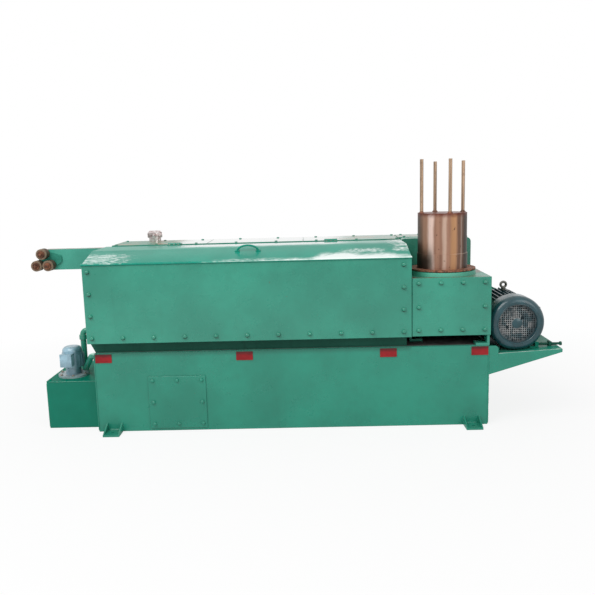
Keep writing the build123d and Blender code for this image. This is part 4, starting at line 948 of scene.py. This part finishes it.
def fan_end(low, high):
    """Guard plate's hub and plugs, throat's rim, fan and screws of the fan cover, whose box is given."""
    x, z = (low.x + high.x) / 2, (low.z + high.z) / 2
    guard_low, guard_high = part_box("motor_grille")
    front = guard_low.y
    turnings("grille_hub", GRILLE_HUB, [(x, front, z)], "front", 40, "motor")
    places = [(x + side, front, z + rise) for side, rise in ((0.037, 0.042), (-0.069, -0.027))]
    turnings("grille_plugs", GRILLE_PLUG, places, "front", 24, "fan")
    throat = guard_high.x - x - 0.003
    rounding = 0.0035
    inner = (throat - 0.004, -0.001)
    outline = [inner]
    for angle in spread(0, math.pi / 2, 4):
        outline.append((throat + rounding * math.cos(angle), rounding * math.sin(angle)))
    outline.append(inner)
    turnings("fan_cover_rim", outline, [(x, low.y, z)], "front", 64, "motor")
    where = standing((x, front + 0.012, z), "front")
    shape = bmesh.new()
    lathe(shape, FAN_BOSS, where, 32)
    blades = 7
    pitch = Matrix.Rotation(math.radians(24), 4, "X")
    for index in range(blades):
        turn = Matrix.Rotation(2 * math.pi * index / blades, 4, "Z")
        slab(shape, (0.036, -0.003, -0.05), (0.128, 0.003, -0.004), where @ turn @ pitch)
    piece("cooling_fan", shape, "fan")
    shape = bmesh.new()
    radius = (high.x - low.x) / 2 - 0.0005
    for index in range(4):
        angle = math.pi / 4 + index * math.pi / 2
        out = Vector((math.cos(angle), 0, math.sin(angle)))
        spot = Vector((x, high.y - 0.018, z)) + out * radius
        turn = out.to_track_quat("Z", "Y").to_matrix().to_4x4()
        round_screw(shape, Matrix.Translation(spot) @ turn, FAN_COVER_SCREW)
    piece("fan_cover_screws", shape, "steel")


def motor_details():
    """Fan end, foot bolts, shield bolts, and the terminal box's lid and gland."""
    low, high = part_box("motor_fan_cover")
    x, z = (low.x + high.x) / 2, (low.z + high.z) / 2
    fan_end(low, high)
    low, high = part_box("motor_frame")
    foot_top = z - 0.16
    places = [(x + side, y, foot_top) for side in (-0.158, 0.158) for y in (low.y + 0.06, high.y - 0.06)]
    bolts("motor_foot_bolts", places, "up", MOTOR_FOOT_BOLT)
    shield_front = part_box("motor_end_shield")[0].y
    places = around((x, shield_front + 0.022, z), 0.15, 6, "XZ", 0.3)
    bolts("motor_shield_bolts", places, "rear", MOTOR_SHIELD_BOLT, "motor", washer=False)
    low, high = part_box("motor_terminal_box")
    lap = 0.004
    inset = 0.014
    lid_face = high.x + 0.008
    shape = bmesh.new()
    lid_low = (high.x - lap, low.y - lap, low.z - lap)
    lid_high = (lid_face, high.y + lap, high.z + lap)
    slab(shape, lid_low, lid_high, edge=0.003)
    for y in (low.y + inset, high.y - inset):
        for height in (low.z + inset, high.z - inset):
            round_screw(shape, standing((lid_face, y, height), "right"), MOTOR_BOX_SCREW)
    gland = standing(((low.x + high.x) / 2, (low.y + high.y) / 2, low.z), "down")
    lathe(shape, MOTOR_GLAND_NUT, gland, 6)
    lathe(shape, MOTOR_GLAND_SLEEVE, gland, 20)
    piece("terminal_box_trim", shape, "motor")


def pump_details():
    """Flange bolts, terminal box lid with screws, and a gland on the coolant pump."""
    low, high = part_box("pump_flange")
    middle = Vector(((low.x + high.x) / 2, (low.y + high.y) / 2, low.z + 0.016))
    bolts("pump_flange_bolts", around(middle, 0.099, 6, "XY", math.pi / 4), "up", PUMP_FLANGE_BOLT)
    # The pump's terminal box, measured from the middle of the flange's top
    box_front = -0.118
    half = 0.042
    bottom, top = 0.076, 0.168
    lap = 0.003
    inset = 0.008
    lid_face = box_front - 0.007
    turned = Matrix.Translation(middle) @ Matrix.Rotation(math.radians(-6), 4, "Z")
    shape = bmesh.new()
    lid_low = (-half - lap, lid_face, bottom - lap)
    lid_high = (half + lap, box_front + lap, top + lap)
    slab(shape, lid_low, lid_high, turned, 0.0025)
    for x in (inset - half, half - inset):
        for z in (bottom + inset, top - inset):
            round_screw(shape, turned @ standing((x, lid_face, z), "front"), PUMP_BOX_SCREW)
    gland = turned @ standing((0, box_front + 0.02, bottom), "down")
    lathe(shape, PUMP_GLAND_NUT, gland, 6)
    lathe(shape, PUMP_GLAND_SLEEVE, gland, 16)
    piece("pump_box_trim", shape, "pump")


def roller_nuts():
    """Hexagon nut and stud end on each roller pin."""
    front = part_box("roller_carrier")[0].y
    shape = bmesh.new()
    for roller in ROLLERS:
        low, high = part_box("guide_roller_" + roller)
        where = standing(((low.x + high.x) / 2, front, (low.z + high.z) / 2), "front")
        hex_bolt(shape, where, ROLLER_NUT, washer=False)
        lathe(shape, ROLLER_STUD, where, 16)
    piece("roller_nuts", shape, "rust")


def rod_welds():
    """Weld ring at the foot of each rod of the drum."""
    low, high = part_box("drum_barrel")
    centre = ((low.x + high.x) / 2, (low.y + high.y) / 2, high.z)
    places = around(centre, 0.155, 4, "XY", math.radians(9.4))
    turnings("rod_welds", ROD_WELD, places, "up", 20, "drum_flange", "drum")


def breather_band():
    """Ridged band round the breather cap."""
    low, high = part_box("breather_cap")
    radius = (high.x - low.x) / 2
    centre = ((low.x + high.x) / 2, (low.y + high.y) / 2, low.z + (high.z - low.z) * 0.42)
    ridges = 40
    shape = bmesh.new()
    for index in range(ridges):
        where = Matrix.Translation(centre) @ Matrix.Rotation(2 * math.pi * index / ridges, 4, "Z")
        slab(shape, (radius - 0.001, -0.0025, 0), (radius + 0.002, 0.0025, 0.03), where, 0.0008)
    piece("breather_band", shape, "chrome")


def sheet_screws():
    """Screws that hold the belt guard, and bolts of the tank's top."""
    low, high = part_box("belt_guard")
    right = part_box("gearbox_input_end")[1].x
    places = [(x, low.y, high.z - 0.03) for x in spread(low.x + 0.04, right - 0.04, 5)]
    screws("guard_screws", places, "front", GUARD_SCREW, "bolt")
    low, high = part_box("tank_top")
    front, rear = low.y + 0.025, high.y - 0.025
    places = [(x, y, high.z) for x in spread(low.x + 0.025, high.x - 0.03, 4) for y in (front, rear)]
    painted_bolts("tank_top_bolts", places, "up", TANK_BOLT, "tank_top")


def pale_floor():
    """Pale floor that keeps the machine's shadow and fades to white round it."""
    bpy.ops.mesh.primitive_plane_add(size=60.0, location=(0, 0, 0))
    floor = bpy.context.object
    floor.name = "floor"
    material = bpy.data.materials.new("pale_floor")
    tree = NodeTree(material)
    shader = tree.nodes["Principled BSDF"]
    shader.inputs["Base Color"].default_value = (0.86, 0.86, 0.86, 1)
    shader.inputs["Roughness"].default_value = 0.9
    shader.inputs["Specular IOR Level"].default_value = 0.0
    place = tree.add("ShaderNodeNewGeometry").outputs["Position"]
    distance = tree.add("ShaderNodeVectorMath", {0: place}, operation="LENGTH").outputs["Value"]
    # For the camera the floor turns white between these distances from the middle
    limits = {"From Min": 1.8, "From Max": 4.2, "To Min": 0.84}
    fade = tree.add("ShaderNodeMapRange", {"Value": distance, **limits}).outputs["Result"]
    share = tree.times(tree.add("ShaderNodeLightPath").outputs["Is Camera Ray"], fade)
    glow = tree.add("ShaderNodeEmission", {"Strength": 1.0})
    tree.surface("Material Output", share, shader.outputs["BSDF"], glow.outputs["Emission"])
    floor.data.materials.append(material)


def white_background():
    """Background that is white where it is seen or mirrored, and softer as a source of light."""
    world = bpy.data.worlds.new("studio")
    bpy.context.scene.world = world
    tree = NodeTree(world)
    ambient = tree.nodes["Background"]
    ambient.inputs["Color"].default_value = WHITE
    ambient.inputs["Strength"].default_value = 0.5
    white = tree.add("ShaderNodeBackground", {"Color": WHITE})
    rays = tree.add("ShaderNodeLightPath").outputs
    seen = rays["Is Camera Ray"]
    for ray in ("Is Glossy Ray", "Is Transmission Ray"):
        seen = tree.arithmetic("ADD", seen, rays[ray], clamp=True)
    tree.surface("World Output", seen, ambient.outputs["Background"], white.outputs["Background"])


def soft_lamps():
    """Two large lamps in front and above, aimed at the middle of the machine."""
    target = Vector((0, 0, 0.7))
    # Name, place, size in metres, power in watts
    lamps = [("key", (-3.5, -5.0, 7.0), 5.0, 420.0), ("fill", (5.0, -6.0, 4.0), 4.0, 130.0)]
    for name, place, size, power in lamps:
        lamp = bpy.data.lights.new(name, "AREA")
        lamp.size = size
        lamp.energy = power
        holder = bpy.data.objects.new(name, lamp)
        holder.location = place
        holder.rotation_euler = (target - Vector(place)).to_track_quat("-Z", "Y").to_euler()
        bpy.context.scene.collection.objects.link(holder)


place_camera()
front_bolts()
gearbox_bolts()
hinge_screws()
welds()
motor_details()
pump_details()
roller_nuts()
rod_welds()
breather_band()
sheet_screws()
pale_floor()
white_background()
soft_lamps()
bpy.context.scene.view_settings.view_transform = "Standard"
